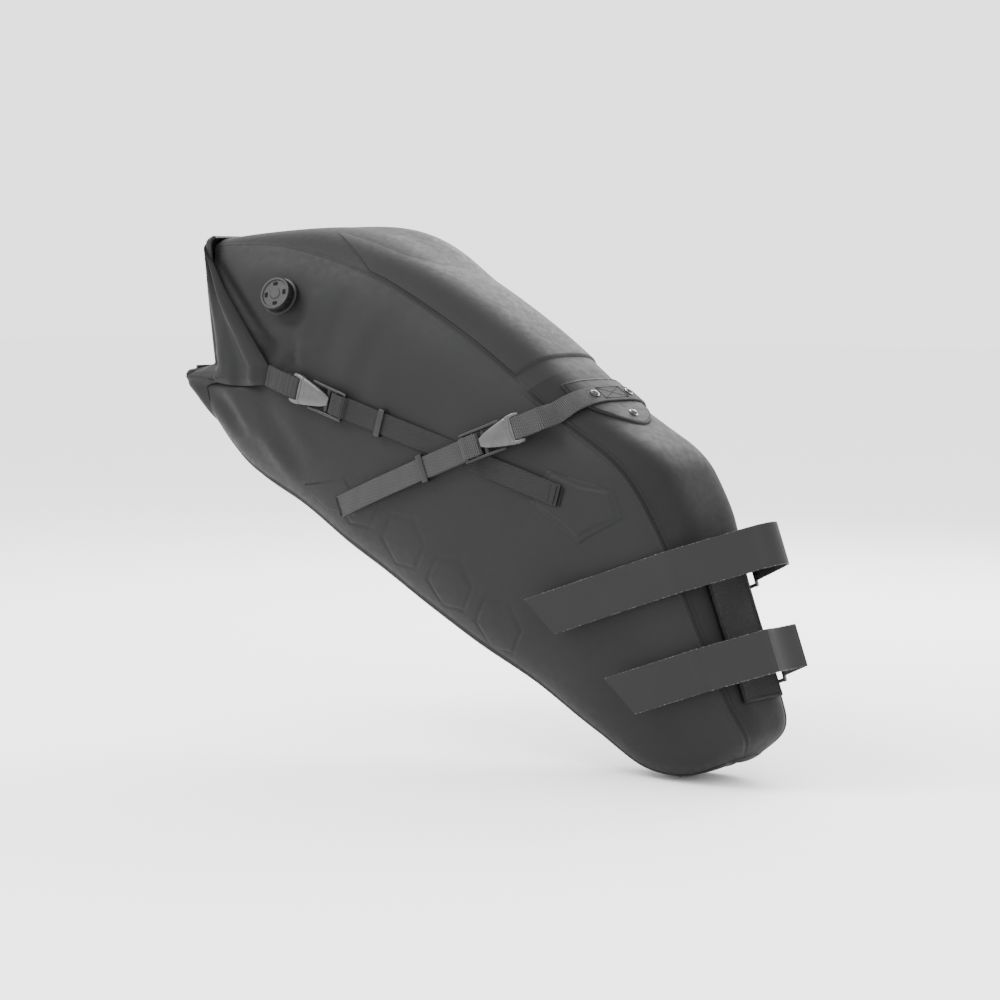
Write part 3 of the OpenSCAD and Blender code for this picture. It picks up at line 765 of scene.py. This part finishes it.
def join(shells):
    """One set of points, faces and UV from several."""
    verts, faces, uvs, shift = [], [], [], 0
    for v, f, uv in shells:
        verts.append(v)
        uvs.append(uv)
        faces += [tuple(i + shift for i in face) for face in f]
        shift += len(v)
    return np.concatenate(verts), faces, np.concatenate(uvs)


def rod(points, up, half_a, half_b, power=3.0, sides=28, end=1.6):
    """Bar with a superellipse section and rounded ends; a runs across, b runs along up."""
    path = np.asarray(points, float)
    n = len(path)
    half_a = np.broadcast_to(np.asarray(half_a, float), n)
    half_b = np.broadcast_to(np.asarray(half_b, float), n)
    t = unit(path[0] - path[1])
    u = unit(path[-1] - path[-2])
    angles = np.radians([8, 22, 38, 54, 72])
    head = path[0] + t * end * np.cos(angles)[:, None]
    tail = path[-1] + u * end * np.cos(angles[::-1])[:, None]
    shrink = np.concatenate([np.sin(angles), np.ones(n), np.sin(angles[::-1])])
    full = np.concatenate([head, path, tail])
    rim_a, rim_b = min(end, half_a.min()), min(end, half_b.min())
    wide = np.concatenate([np.full(5, half_a[0]), half_a, np.full(5, half_a[-1])]) - rim_a * (1 - shrink)
    tall = np.concatenate([np.full(5, half_b[0]), half_b, np.full(5, half_b[-1])]) - rim_b * (1 - shrink)
    tangent = unit(np.gradient(full, axis=0))
    across = unit(np.cross(tangent, np.broadcast_to(up, full.shape)))
    lift = np.cross(across, tangent)
    c, d = superellipse(np.radians(np.arange(sides) * 360 / sides), power)
    points = (full[:, None] + across[:, None] * (wide[:, None] * c)[..., None]
              + lift[:, None] * (tall[:, None] * d)[..., None])
    flat = points.reshape(-1, 3)
    return flat, tube_faces(len(full), sides), flat[:, :2]


# ---------------------------------------------------------------- rubber straps
def strap_path(tail, tighter):
    """Centre line in the post plane, from the ring round the post and the fold to the tail's tip.
    Tighter pulls the front of the loop in, as a share of its radius."""
    centre = np.array([LOOP_AHEAD, 0.0])
    mid_r = LOOP_R + STRAP_T / 2
    fold = np.array(FOLD) - centre
    reach = np.linalg.norm(fold)
    touch = math.atan2(fold[1], fold[0]) + math.acos(mid_r / reach)
    arc = np.linspace(-touch, touch, 33)
    ring = centre + mid_r * np.stack([np.cos(arc) - tighter * np.maximum(0, np.cos(arc))**2, np.sin(arc)], -1)
    start = np.array([FOLD[0], -FOLD[1]]) + [0.5, -0.4]
    leg = start + (ring[0] - start) * np.linspace(0, 1, 12, endpoint=False)[:, None]
    corner = np.array(FOLD)
    back = ring[-1] + (corner - ring[-1]) * np.linspace(0, 1, 13)[1:, None]
    spread = math.atan(24 / 147)
    bend = corner + [-6.0, -2.2]
    end = bend + (tail - 6) * np.array([-math.cos(spread), -math.sin(spread)])
    sag = np.linspace(0, 1, 24)
    loose = bend + (end - bend) * sag[:, None] - np.outer(np.sin(math.pi * sag), [0, 1.6])
    points = np.concatenate([leg, ring, back[:-1], [corner + [-0.6, -0.8]], loose])
    return curve(points[::2], 150)


TIP = 60
TIP_SLANT = 20


def rubber_strap(level, name, tail, tighter):
    """A seatpost strap: its loop on the bag, blended over the fold to its tail's body."""
    flat = strap_path(tail, tighter)
    path = at_post(np.column_stack([flat, np.full(len(flat), level)]))
    up = pointing(at_post, Z_AXIS)
    section = rounded_section(STRAP_W / 2, STRAP_T / 2, 0.5, cuts=4, flats=16)
    verts, faces, uv = sweep(path, up, section)
    along, across = uv.T
    near_tip = along > along.max() - TIP
    slant = TIP_SLANT * (0.5 - across / STRAP_W)
    share = np.where(near_tip, (along - along.max() + TIP) / TIP, 0)
    tangent = unit(path[-1] - path[-2])
    verts = verts - (share * slant)[:, None] * tangent
    fray = RNG.uniform(-0.35, 0.35, len(verts)) * (np.abs(across) > STRAP_W / 2 - 0.3)
    verts = verts + fray[:, None] * up * 0.6
    piece = make(name, verts, faces, RUBBER, None, uv,
                 replaces=["seatpost_" + name, name.replace("strap", "strap_tail")])
    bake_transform(piece)


rubber_strap(STRAP_PITCH, "strap_upper", 147, -0.1)
rubber_strap(-STRAP_PITCH, "strap_lower", 92, 0.8)
RING_LEAN = -8.0


def ring_frame(points, level):
    """Points drawn at a strap's ring, in the post plane."""
    turned = np.asarray(points, float) @ rotation("z", RING_LEAN).T
    return at_post(turned + [FOLD[0], -FOLD[1], level])


def strap_ring(level, name):
    """Rectangular wire ring that the strap doubles back through."""
    half = STRAP_W / 2 + 3
    corners = [(0, 0, half - 2), (-2, 0, half), (-13, 0, half), (-15, 0, half - 2),
               (-15, 0, -half + 2), (-13, 0, -half), (-2, 0, -half), (0, 0, -half + 2)]
    loop = curve(corners + corners[:2], 120)
    verts, faces, _ = rod(ring_frame(loop, level), pointing(at_post, Y_AXIS), 1.7, 1.7, power=2, sides=16,
                          end=0.5)
    make(name, verts, faces, RING, "bag")


def ring_tab(level, name):
    """Webbing tab wrapped round the ring."""
    a = np.radians(np.linspace(-100, 100, 22))
    wrap = np.stack([-15 + 2.9 * np.cos(a), -2.9 * np.sin(a), 0 * a], -1)
    out = [(-61, 2.0, 0), (-40, 2.2, 0), (-26, 2.6, 0)]
    back = [(-26, -1.2, 0), (-38, -0.2, 0)]
    line = curve(np.concatenate([out, wrap, back]), 90)
    section = rounded_section(STRAP_W / 2 - 0.4, 0.85, 0.5)
    verts, faces, uv = sweep(ring_frame(line, level), pointing(at_post, Z_AXIS), section)
    make(name, verts, faces, WEBBING, "bag", uv)


for level, end in ((STRAP_PITCH, "upper"), (-STRAP_PITCH, "lower")):
    strap_ring(level, "strap_ring_" + end)
    ring_tab(level, "ring_tab_" + end)


# ---------------------------------------------------------------- webbing
WEB_SECTION = rounded_section(WEB_W / 2, 0.95, 0.6)
BRIDGE_S = 6.975


def on_skin(s, a, lift):
    """A point raised from the bag's surface."""
    return skin(s, a) + lift * skin_normal(s, a)


def across_bridge(a):
    """Direction across the webbing that goes over the top at the angles a."""
    return unit(skin(BRIDGE_S - 0.1, a) - skin(BRIDGE_S + 0.1, a))


def strip(name, path, across, material, flip, under=()):
    """Webbing along a path on the bag, with any layers under it."""
    verts, faces, uv = join([sweep(path, across, WEB_SECTION), *under])
    make(name, flip(verts), faces, material, "bag", uv)


for side, flip in SIDES:
    # Rail strap: over the shoulder from the bridge to the shield's bar
    over = [on_skin(BRIDGE_S, a, 3.4) for a in (20, 27, 34, 40)]
    lead = list(AT_RAIL([(-26, 0, 6.4), (-14, 0, 6.6), (-5, 0, 6.9)]))
    line = curve(over + lead, 60)
    round_bar = AT_RAIL([(2.6, 0, 6.6), (4.0, 0, 4.5), (2.6, 0, 2.0), (-3, 0, 1.6), (-14, 0, 3.6),
                         (-20, 0, 4.2)])
    line = curve(np.concatenate([line[:-1:6], [line[-1]], round_bar]), 110)
    first = across_bridge(30)
    last = pointing(AT_RAIL, Y_AXIS)
    share = smooth_step(np.linspace(0, 1, len(line)), 0.0, 0.5)[:, None]
    sense = np.sign(first @ last)
    strip("rail_webbing_" + side, line, unit(first * sense * (1 - share) + last * share), WEBBING, flip)

BRIDGE_ANGLES = np.linspace(-30, 30, 41)
bridge = np.array([on_skin(BRIDGE_S, a, 3.0) for a in BRIDGE_ANGLES])
strip("rail_bridge_webbing", bridge, across_bridge(BRIDGE_ANGLES), WEBBING, as_drawn)


def rail_line(x):
    """Place (x, z) of the rail strap at x."""
    return x, RAIL_BAR[2] + (x - RAIL_BAR[0]) * math.tan(math.radians(RAIL_SLOPE))


def roll_line(x):
    """Place (x, z) of the roll strap at x."""
    return x, ROLL_BAR[2] - (x - ROLL_BAR[0]) * math.tan(math.radians(ROLL_SLOPE))


def side_run(line, start, end, offsets, count=60):
    """Centre line of a strap on the side between two x positions, raised by (share, height) pairs."""
    share = np.linspace(0, 1, count)
    x, z = line(start + (end - start) * share)
    lift = smoothed(np.interp(share, *np.transpose(offsets)), 4)
    return side_point(x, z, lift)


def flat_across(slope):
    """Direction across a strap that rises forward at a slope."""
    s = math.radians(slope)
    return np.array([-math.sin(s), 0, math.cos(s)])


RAIL_ACROSS = flat_across(RAIL_SLOPE)
ROLL_ACROSS = flat_across(-ROLL_SLOPE)


def stitched(name, stitches, length, radius, flip=as_drawn):
    """Short raised stitches, each given by its middle, its direction and which way is out."""
    shells = []
    for spot, along, up in stitches:
        line = np.array([spot - along * length / 2, spot + along * length / 2])
        shells.append(rod(curve(line, 4), up, radius, radius * 0.8, power=2, sides=8, end=0.25))
    verts, faces, _ = join(shells)
    make(name, flip(verts), faces, THREAD_AND_SLOT_SHADE, "bag")


def stitch_line(a, b, up, pitch):
    """Stitches from a to b."""
    run = np.linalg.norm(b - a)
    along = (b - a) / run
    count = max(2, int(run / pitch))
    return [(a + along * run * (k + 0.5) / count, along, up) for k in range(count)]


OUT = np.array([0, -1.0, 0])
RAIL_LIFT = [(0, 7.0), (0.08, 6.9), (0.3, 6.4), (0.52, 5.0), (0.8, 3.4), (1, 3.0)]
RAIL_UNDER_LIFT = [(0, 4.4), (0.5, 3.6), (1, 3.4)]
ROLL_LIFT = [(0, 6.0), (0.04, 5.2), (0.1, 4.2), (0.22, 4.0), (0.42, 1.7), (0.75, 1.7), (0.86, 3.0), (1, 3.1)]
for side, flip in SIDES:
    # Lower rail webbing: doubled near the frame, then down to its anchor
    path = side_run(rail_line, -249, -408, RAIL_LIFT)
    under = side_run(rail_line, -246, -300, RAIL_UNDER_LIFT, 24)
    strip("rail_lower_webbing_" + side, path, RAIL_ACROSS, WEBBING, flip,
          under=[sweep(under, RAIL_ACROSS, WEB_SECTION)])
    end = side_point(*rail_line(-407), 4.2)
    rows = []
    for k in (0, 1):
        back = np.array([1.4, 0, 0.5]) * k
        rows += stitch_line(end + RAIL_ACROSS * -9 - back, end + RAIL_ACROSS * 9 - back, OUT, 1.2)
    stitched("rail_bartack_" + side, rows, 1.3, 0.3, flip)
    # Roll webbing, with two rows of stitches before its end and two past it
    path = side_run(roll_line, -393, -158, ROLL_LIFT, 90)
    strip("roll_webbing_" + side, path, ROLL_ACROSS, WEBBING_SHADED, flip)
    along = unit(np.array([math.cos(math.radians(ROLL_SLOPE)), 0, -math.sin(math.radians(ROLL_SLOPE))]))
    rows = []
    for ahead, lift, pitch in ((-7, 4.4, 1.9), (-1, 4.4, 1.9), (2.2, 2.4, 1.3), (5.2, 2.4, 1.3)):
        spot = side_point(*roll_line(-160), lift) + along * ahead
        rows += stitch_line(spot - ROLL_ACROSS * 8.6, spot + ROLL_ACROSS * 8.6, OUT, pitch)
    stitched("roll_bartack_" + side, rows, 1.4, 0.34, flip)
    # Ribbed tab of the roll
    tab = AT_ROLL([(-40, -1, 1.2), (-32, -0.6, 3.2), (-24, -0.2, 5.4), (-14, 0, 6.6), (-5, 0, 6.9),
                   (2.6, 0, 6.6), (4.0, 0, 4.5), (2.6, 0, 2.0), (-3, 0, 1.6), (-14, 0, 2.4)])
    share = np.linspace(0, 1, 120)
    ribs = 0.55 * np.maximum(0, np.sin(share * 34))**2 * (share < 0.4)
    verts, faces, uv = sweep(curve(tab, 120), ROLL_ACROSS, WEB_SECTION, cup=ribs)
    make("roll_tab_" + side, flip(verts), faces, TAB, "closure", uv)


# ---------------------------------------------------------------- buckles
def crossbar(x, z, reach=12.0, crown=0.0):
    """A bar across the strap, raised by crown in the middle."""
    return np.array([(x, -reach, z), (x, 0, z + crown), (x, reach, z)])


def shield_shells(place):
    """Hook shield: crowned body, two horns round the webbing slot, and the bar between them."""
    x = np.concatenate([np.linspace(6.2, 12, 8), np.linspace(13, 40, 20)])
    half = smoothed(np.interp(x, [6.2, 9, 12, 24, 34, 38, 40], [13.0, 12.9, 12.5, 9.8, 7.1, 5.6, 4.4]), 3)
    tall = np.interp(x, [6.2, 12, 30, 40], [1.9, 2.6, 2.5, 1.5])
    mid = np.interp(x, [6.2, 12, 26, 40], [5.5, 5.4, 4.9, 4.1])
    up = pointing(place, Z_AXIS)
    shells = [rod(place(np.stack([x, 0 * x, mid], -1)), up, half, tall, power=3.0, sides=48, end=1.6)]
    for sign in (-1, 1):
        horn = curve([(8.5, 11.2, 5.2), (4, 12.0, 5.1), (0, 12.2, 4.8), (-2.6, 11.8, 4.5)], 14)
        wide, deep = np.linspace(2.2, 1.7, 14), np.linspace(2.5, 2.1, 14)
        shells.append(rod(place(horn * [1, sign, 1]), up, wide, deep, power=2.6, end=1.5))
    shells.append(rod(place(crossbar(0, BAR_Z)), up, 1.5, 1.5, power=2, sides=20, end=0.4))
    lip = curve([(6.6, -11, 7.0), (7.6, -5, 7.7), (7.9, 0, 7.8), (7.6, 5, 7.7), (6.6, 11, 7.0)], 30)
    shells.append(rod(place(lip), up, 0.8, 0.6, power=2, sides=12, end=0.5))
    return shells


def frame_shells(place):
    """Ladder frame: two side arms with prongs, and three cross bars."""
    up = pointing(place, Z_AXIS)
    shells = []
    for sign in (-1, 1):
        arm = curve([(19, 12.6, 2.6), (28, 12.5, 2.3), (40, 12.4, 2.2), (52, 12.4, 2.3),
                     (59.4, 12.2, 2.5)], 24)
        tall = np.interp(np.linspace(0, 1, 24), [0, 0.25, 0.5, 1], [1.0, 1.7, 2.1, 2.1])
        shells.append(rod(place(arm * [1, sign, 1]), up, 1.45, tall, power=3.4, end=1.2))
    for x, z, half_x, half_z in ((38, 1.1, 2.0, 1.0), (47.5, 1.9, 1.6, 1.7), (58.4, 2.0, 1.6, 1.9)):
        shells.append(rod(place(crossbar(x, z)), up, half_x, half_z, power=2.8, sides=24, end=0.4))
    return shells


def threaded(place):
    """Webbing wrapped over the frame's bars."""
    over = [(62.5, 0, 0.8), (61.0, 0, 3.6), (58.2, 0, 4.9), (54, 0, 4.6), (50.5, 0, 4.5), (47.5, 0, 4.4),
            (44.6, 0, 3.4), (43.6, 0, 1.2), (45.0, 0, -0.2), (50, 0, -0.4), (56, 0, -0.2), (61, 0, -0.4)]
    return place(curve(over, 90))


def slider(place):
    """Slider: a rectangular loop with rounded bars."""
    up = pointing(place, Z_AXIS)
    shells = []
    for z, crown in ((-0.6, 0.0), (4.0, 0.25)):
        line = curve(crossbar(0, z, 11.9, crown), 12)
        shells.append(rod(place(line), up, 3.3, 0.62, power=3.2, end=0.4))
    for sign in (-1, 1):
        line = [(0, 12 * sign, z) for z in (-0.6, 1.7, 4.0)]
        shells.append(rod(place(line), pointing(place, Y_AXIS), 3.3, 0.95, power=3.2, end=0.5))
    return shells


RAIL_KEEPER_X = -302.0
ROLL_KEEPER_X = -351.0


def keeper_place(line, x, lift, turn):
    return on_right(side_point(*line(x), lift), turn)


def hardware(name, shells, material, body, flip):
    """A moulded piece made of several shells."""
    verts, faces, _ = join(shells)
    make(name, flip(verts), faces, material, body)


AT_RAIL_KEEPER = keeper_place(rail_line, RAIL_KEEPER_X, 3.9, 180 + RAIL_SLOPE)
AT_ROLL_KEEPER = keeper_place(roll_line, ROLL_KEEPER_X, 2.4, -ROLL_SLOPE)
BUCKLES = (("rail", AT_RAIL, AT_RAIL_KEEPER, WEBBING), ("roll", AT_ROLL, AT_ROLL_KEEPER, WEBBING_SHADED))
for side, flip in SIDES:
    for kind, place, keeper_at, webbing in BUCKLES:
        hardware(f"{kind}_shield_{side}", shield_shells(place), SHIELD_PAINTED_HIGHLIGHT, f"{kind}_hook_{side}", flip)
        hardware(f"{kind}_frame_{side}", frame_shells(place), PLASTIC, "bag", flip)
        verts, faces, uv = sweep(threaded(place), pointing(place, Y_AXIS), WEB_SECTION)
        make(f"{kind}_frame_loop_{side}", flip(verts), faces, webbing, "bag", uv)
        hardware(f"{kind}_keeper_{side}", slider(keeper_at), PLASTIC, f"{kind}_slider_{side}", flip)


# ---------------------------------------------------------------- rail patch: rivets and stitches
def dome(centre, normal, profile, sides=40):
    """Round piece from a profile of (radius, height) about a normal."""
    n = unit(np.asarray(normal, float))
    a = unit(np.cross(n, [0, 0, 1.0] if abs(n[2]) < 0.9 else [0, 1.0, 0]))
    b = np.cross(n, a)
    t = np.radians(np.arange(sides) * 360 / sides)
    ring = np.cos(t)[:, None] * a + np.sin(t)[:, None] * b
    points = centre + np.concatenate([r * ring + h * n for r, h in profile])
    return points, tube_faces(len(profile), sides), points[:, :2]


# Rivets by station, angle and height over the bag's surface
RIVETS = [(6.98, 9, 4.4), (6.98, -9, 4.4), (6.66, 0, 1.9)]
dome_angles = np.radians(np.linspace(8, 90, 9))
RIVET_PROFILE = [(4.3, -0.6), (4.6, 0.1), (4.4, 0.6), (3.9, 0.75), (3.5, 0.8)] + [
    (3.3 * math.sin(q), 0.8 + 2.0 * math.cos(q)) for q in dome_angles[::-1]]
verts, faces, _ = join([dome(on_skin(s, a, lift), skin_normal(s, a), RIVET_PROFILE) for s, a, lift in RIVETS])
make("rail_rivets", verts, faces, RIVET, "bag")


def patch_stitches(stops, lift, pitch):
    """Stitches over the top from stop to stop, each given as (station, angle)."""
    rows = []
    for (s0, a0), (s1, a1) in zip(stops[:-1], stops[1:]):
        up = skin_normal((s0 + s1) / 2, (a0 + a1) / 2)
        rows += stitch_line(on_skin(s0, a0, lift), on_skin(s1, a1, lift), up, pitch)
    return rows


box = [(7.06, -4.6), (7.06, 4.6), (6.9, 4.6), (6.9, -4.6), (7.06, -4.6), (6.9, 4.6)]
rows = patch_stitches(box, 4.15, 2.0) + patch_stitches([(6.9, -4.6), (7.06, 4.6)], 4.15, 2.0)
stitched("rail_box_stitch", rows, 1.3, 0.24)
drawn_in = np.array(RAIL_CENTRE) + (np.array(RAIL_RIM) - RAIL_CENTRE) * [0.9, 0.92]
stops = rim_line(drawn_in, 8)
rows = patch_stitches([*stops, stops[0]], 1.95, 2.4)
stitched("rail_patch_stitch", rows, 1.5, 0.22)


# ---------------------------------------------------------------- valve
VALVE_TURN = rotation("z", 8) @ rotation("x", 70)
VALVE_PROUD = 1.3


def at_valve(points):
    """Valve coordinates, z out of the bag, as bag coordinates."""
    return (np.asarray(points, float) + [0, 0, VALVE_PROUD]) @ VALVE_TURN.T + VALVE_POS


def disc(rings, sides):
    """Round solid from rings of radius, height and depth of knurling."""
    t = np.radians(np.arange(sides) * 360 / sides)
    rows = []
    for r, h, knurl in rings:
        radius = r + knurl * (np.cos(KNURLS * t) > 0.1)
        rows.append(np.stack([radius * np.cos(t), radius * np.sin(t), h + 0 * t], -1))
    return np.concatenate(rows), tube_faces(len(rows), sides)


def cap_face(r):
    """Height of the cap's face at radius r, with its raised rim and centre boss."""
    return CAP_TOP + (-1.2 * smooth_step(13.4 - r, 0, 0.6) + 0.5 * (1 - smooth_step(r, 5.0, 5.6)))


KNURLS = 36
KNURL = 0.35
CAP_TOP = 11.3
cap = [(13.4, 3.2, 0), (15.2, 3.0, 0), (15.7, 3.5, KNURL), (15.75, 6.5, KNURL), (15.6, 9.8, KNURL),
       (15.5, 10.6, 0), (15.2, 11.1, 0)] + [(r, cap_face(r), 0) for r in np.linspace(15.2, 0.4, 60)]
verts, faces = disc(cap, 288)
make("valve_cap", at_valve(verts), faces, VALVE, "valve_top")
# The cap's four slots are thin near-black sheets lying on its face: painted shade for the pockets.
slots = []
for quarter in range(4):
    bar = np.array([(9.7, -1.6, 10.2), (9.7, 1.6, 10.2)]) @ rotation("z", 90 * quarter + 10).T
    slots.append(rod(curve(bar, 4), Z_AXIS, 1.7, 0.16, power=8, sides=24, end=0.9))
verts, faces, _ = join(slots)
make("valve_cap_slots", at_valve(verts), faces, THREAD_AND_SLOT_SHADE, "valve_top")
BASE_PROFILE = [(10.4, -9.8), (10.4, 0.2), (17.2, 0.2), (18.3, 0.6), (18.5, 1.4), (18.2, 2.2), (17.4, 2.6),
                (14.8, 2.7), (12.9, 3.0), (12.5, 3.4), (12.5, 7.0), (6.2, 7.0)]
verts, faces = disc([(r, h, 0) for r, h in BASE_PROFILE], 120)
make("valve_base", at_valve(verts), faces, VALVE, "bag")


# ---------------------------------------------------------------- closure
# Plan of the folded mouth from the bottom up: height, rear edge, half width, roundness
MOUTH = np.array([
    [134, -580, 40, 2.4], [141, -584, 62, 2.8], [150, -589, 76, 3.2], [160, -594, 84, 3.8],
    [172, -599, 89, 5], [182, -603, 91, 8], [188, -604.5, 91.5, 10], [193, -600, 86, 6],
    [200, -589, 71, 2.2], [225, -588, 76, 2.2], [260, -588, 81.5, 2.4], [300, -586, 87, 2.9],
    [314, -582, 89.5, 3.2], [319, -578, 90, 3.4], [322.5, -570, 84, 4],
]).T
# How far the folded mouth laps forward over the bag's rear edge
LAP = 3


def mouth_x(z):
    """Rear edge of the bag at height z."""
    return -578 + 12 * (z - 134) / 188


def closure_curves(z):
    """Rear edge, half width and roundness of the folded mouth at heights z."""
    rear, half, power = (np.interp(z, MOUTH[0], row) for row in MOUTH[1:])
    snug = half_width(mouth_x(z) + 1.5, z) - 0.3
    return rear, np.where(z < 186, np.minimum(half, snug), half), power


def closure_shell(depth):
    """Plan curves of the folded mouth, drawn in by depth."""
    z = np.linspace(MOUTH[0, 0], MOUTH[0, -1], 130)
    rear, half, power = (smoothed(values, 3)[:, None] for values in closure_curves(z))
    under = smooth_step(z, 178, 186) * (1 - smooth_step(z, 203, 212))
    front = (mouth_x(z) + LAP + 24 * under)[:, None]
    v = np.sin(np.linspace(-math.pi / 2, math.pi / 2, 181))[None]
    swell = (1 - np.abs(v)**power)**(1 / power)
    flare = 3.4 * bump(z[:, None] - 184, 18) * smooth_step(swell, 0, 0.5)
    y = -(half + flare - depth) * v
    x = front - (front - rear - depth) * swell
    zz = np.broadcast_to(z[:, None], x.shape)
    ripple = 1.3 * np.sin(y / 13 + zz / 31) * np.sin(zz / 23) + 0.8 * np.sin(y / 7.3 - zz / 47)
    calm = smooth_step(zz, 205, 235) * (1 - smooth_step(zz, 290, 318)) * swell
    return np.stack([x - ripple * calm, y, zz - depth * smooth_step(zz, 300, 322)], -1)


verts, faces = slab(closure_shell(0.0), closure_shell(1.8))
make("roll_collar", verts, faces, FABRIC, "closure")


def mouth_roll():
    """Flattened spiral of the rolled mouth, thinning towards both ends."""
    shells = []
    for turn, (radius, reach) in enumerate(((9.5, 86), (7.2, 88), (4.6, 89))):
        y = np.linspace(-reach, reach, 70)
        line = np.stack([-594.5 + 0.6 * np.sin(y / 17 + turn), y, 190 + 0.5 * np.sin(y / 23 + turn)], -1)
        slim = np.interp(np.abs(y), [0, 60, 86], [1, 0.9, 0.45])
        deep, tall = (radius + turn * 0.3) * slim, radius * slim * 0.92
        shells.append(rod(line, Z_AXIS, deep, tall, power=2.3, sides=40, end=2.5))
    return join(shells)


verts, faces, _ = mouth_roll()
make("mouth_roll", verts, faces, FABRIC, "closure")


def ear_outline(t):
    """Rear and front edges (x, z) of the folded ear at heights t from the top, 0, to the bottom, 1."""
    z = np.interp(t, [0, 1], [319, 189])
    lap = mouth_x(z) + LAP
    rear_x = lap - 0.6 * (lap - np.interp(t, [0, 0.3, 1], [-582, -588, -589]))
    front_x = np.interp(t, [0, 0.86, 1], [-579, -487, -489])
    front_z = np.interp(t, [0, 0.86, 1], [318, 200, 182])
    return np.stack([rear_x, z], -1), np.stack([front_x, front_z], -1)


def ear_surface(depth):
    """The ear folded forward on the right side, drawn in by depth."""
    t = np.linspace(0, 1, 110)[:, None]
    u = np.linspace(0, 1, 90)[None]
    rear, front = ear_outline(t[:, 0])
    x = rear[:, :1] + (front[:, :1] - rear[:, :1]) * u
    z = rear[:, 1:] + (front[:, 1:] - rear[:, 1:]) * u
    z = z - 5 * np.sin(math.pi * u) * smooth_step(t, 0.6, 1)
    inside = np.maximum(x, mouth_x(z) + 1)
    base = half_width(inside, z) - pinch(x, z) - 6.0 * np.maximum(0, mouth_x(z) - x)
    back, half, power = closure_curves(z)
    lap = mouth_x(z) + LAP
    swell = np.clip((lap - x) / (lap - back), 0, 1)
    base = np.maximum(base, half * (1 - swell**power)**(1 / power) - 1.4)
    grown = smooth_step(t, -0.1, 0.55)
    folds = 9.5 * bump(u - 0.84, 0.12) + 4.6 * bump(u - 0.38, 0.17) + bump(u - 0.12, 0.12)
    folds = folds * (1 - 0.25 * smooth_step(t, 0.8, 1)) - 1.8 * bump(u - 0.6, 0.07)
    folds = folds + 1.2 * np.sin(u * 17 + t * 5) * bump(u - 0.55, 0.3)
    edge = smooth_step(1 - u, -0.05, 0.05) * smooth_step(u, 0, 0.06)
    lip = smooth_step(1 - t, -0.03, 0.05)
    lift = 1.2 + (1.8 + folds * grown) * edge * (0.4 + 0.6 * lip)
    return np.stack([x, -(base + lift - depth), z], -1)


for side, flip in SIDES:
    verts, faces = slab(ear_surface(0.0), ear_surface(1.1))
    make("roll_ear_" + side, flip(verts), faces, FABRIC, "closure")


# ---------------------------------------------------------------- front pad
def on_front(points):
    """Post coordinates, leant back a little with the bag's front."""
    return at_post(np.asarray(points, float) @ rotation("y", -1.4).T)


PAD_FACE = -20.6
PAD_BACK = -22.6


def front_pad():
    """Grainy pad with a raised border."""
    half_w, low, high = 29.0, -80.0, 66.0
    y, z = np.meshgrid(np.linspace(-half_w, half_w, 90), np.linspace(low, high, 200), indexing="ij")
    gap = np.minimum(half_w - np.abs(y), np.minimum(z - low, high - z))
    x = PAD_FACE + smooth_step(gap, -0.2, 1.0) - 0.8 * smooth_step(gap, 2.2, 3.0)
    x = x - 0.5 * smooth_step(1 - gap, 0, 1)
    outer = on_front(np.stack([x, y, z], -1))
    inner = on_front(np.stack([0 * x + PAD_BACK, y, z], -1))
    return slab(outer, inner)


verts, faces = front_pad()
make("seatpost_pad", verts, faces, GRIP, "bag")


# ---------------------------------------------------------------- camera, light and floor
CAMERA_POS = np.array([1310.87, -2038.56, 280.58])
CAMERA_AT = np.array([-304.56, 29.10, 74.08])
LENS = 100.8
SENSOR = 36.0
FAR_CLIP = 50
camera_data = bpy.data.cameras.new("camera")
camera_data.lens = LENS
camera_data.sensor_width = SENSOR
camera_data.clip_end = FAR_CLIP
camera = bpy.data.objects.new("camera", camera_data)
bpy.context.scene.collection.objects.link(camera)
camera.location = placed(CAMERA_POS)
look = Vector(placed(CAMERA_AT)) - Vector(placed(CAMERA_POS))
camera.rotation_euler = look.to_track_quat("-Z", "Y").to_euler()
bpy.context.scene.camera = camera

FLOOR_REACH = 14.0
FLOOR_GAP = 0.002
floor_mesh = bpy.data.meshes.new("floor")
corners = [(x * FLOOR_REACH, y * FLOOR_REACH, 0) for x, y in ((-1, -1), (1, -1), (1, 1), (-1, 1))]
floor_mesh.from_pydata(corners, [], [(0, 1, 2, 3)])
floor = bpy.data.objects.new("floor", floor_mesh)
floor.location = (-0.3, 0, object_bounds()[0][2] - FLOOR_GAP)
bpy.context.scene.collection.objects.link(floor)
paper = Nodes("pale_floor").finish(Base_Color=grey(0.965), Roughness=0.95, Specular_IOR_Level=0.1)
floor_mesh.materials.append(paper)

WORLD_LIGHT = 2.4
world = bpy.data.worlds.new("studio")
world.use_nodes = True
background = world.node_tree.nodes["Background"]
background.inputs[0].default_value = grey(1)
background.inputs[1].default_value = WORLD_LIGHT
bpy.context.scene.world = world


def soft_light(name, location, target, size, power):
    """A rectangular area light turned towards a target."""
    data = bpy.data.lights.new(name, "AREA")
    data.shape = "RECTANGLE"
    data.size, data.size_y = size
    data.energy = power
    light = bpy.data.objects.new(name, data)
    light.location = location
    light.rotation_euler = (Vector(target) - Vector(location)).to_track_quat("-Z", "Y").to_euler()
    bpy.context.scene.collection.objects.link(light)


MIDDLE = (-0.3, 0.0, 0.08)
soft_light("key", (-1.3, -1.2, 1.7), MIDDLE, (1.0, 1.0), 60)
soft_light("front", (1.5, -0.9, 0.9), MIDDLE, (1.0, 1.4), 16)
soft_light("rim", (-0.6, 1.6, 1.3), MIDDLE, (1.6, 0.8), 60)
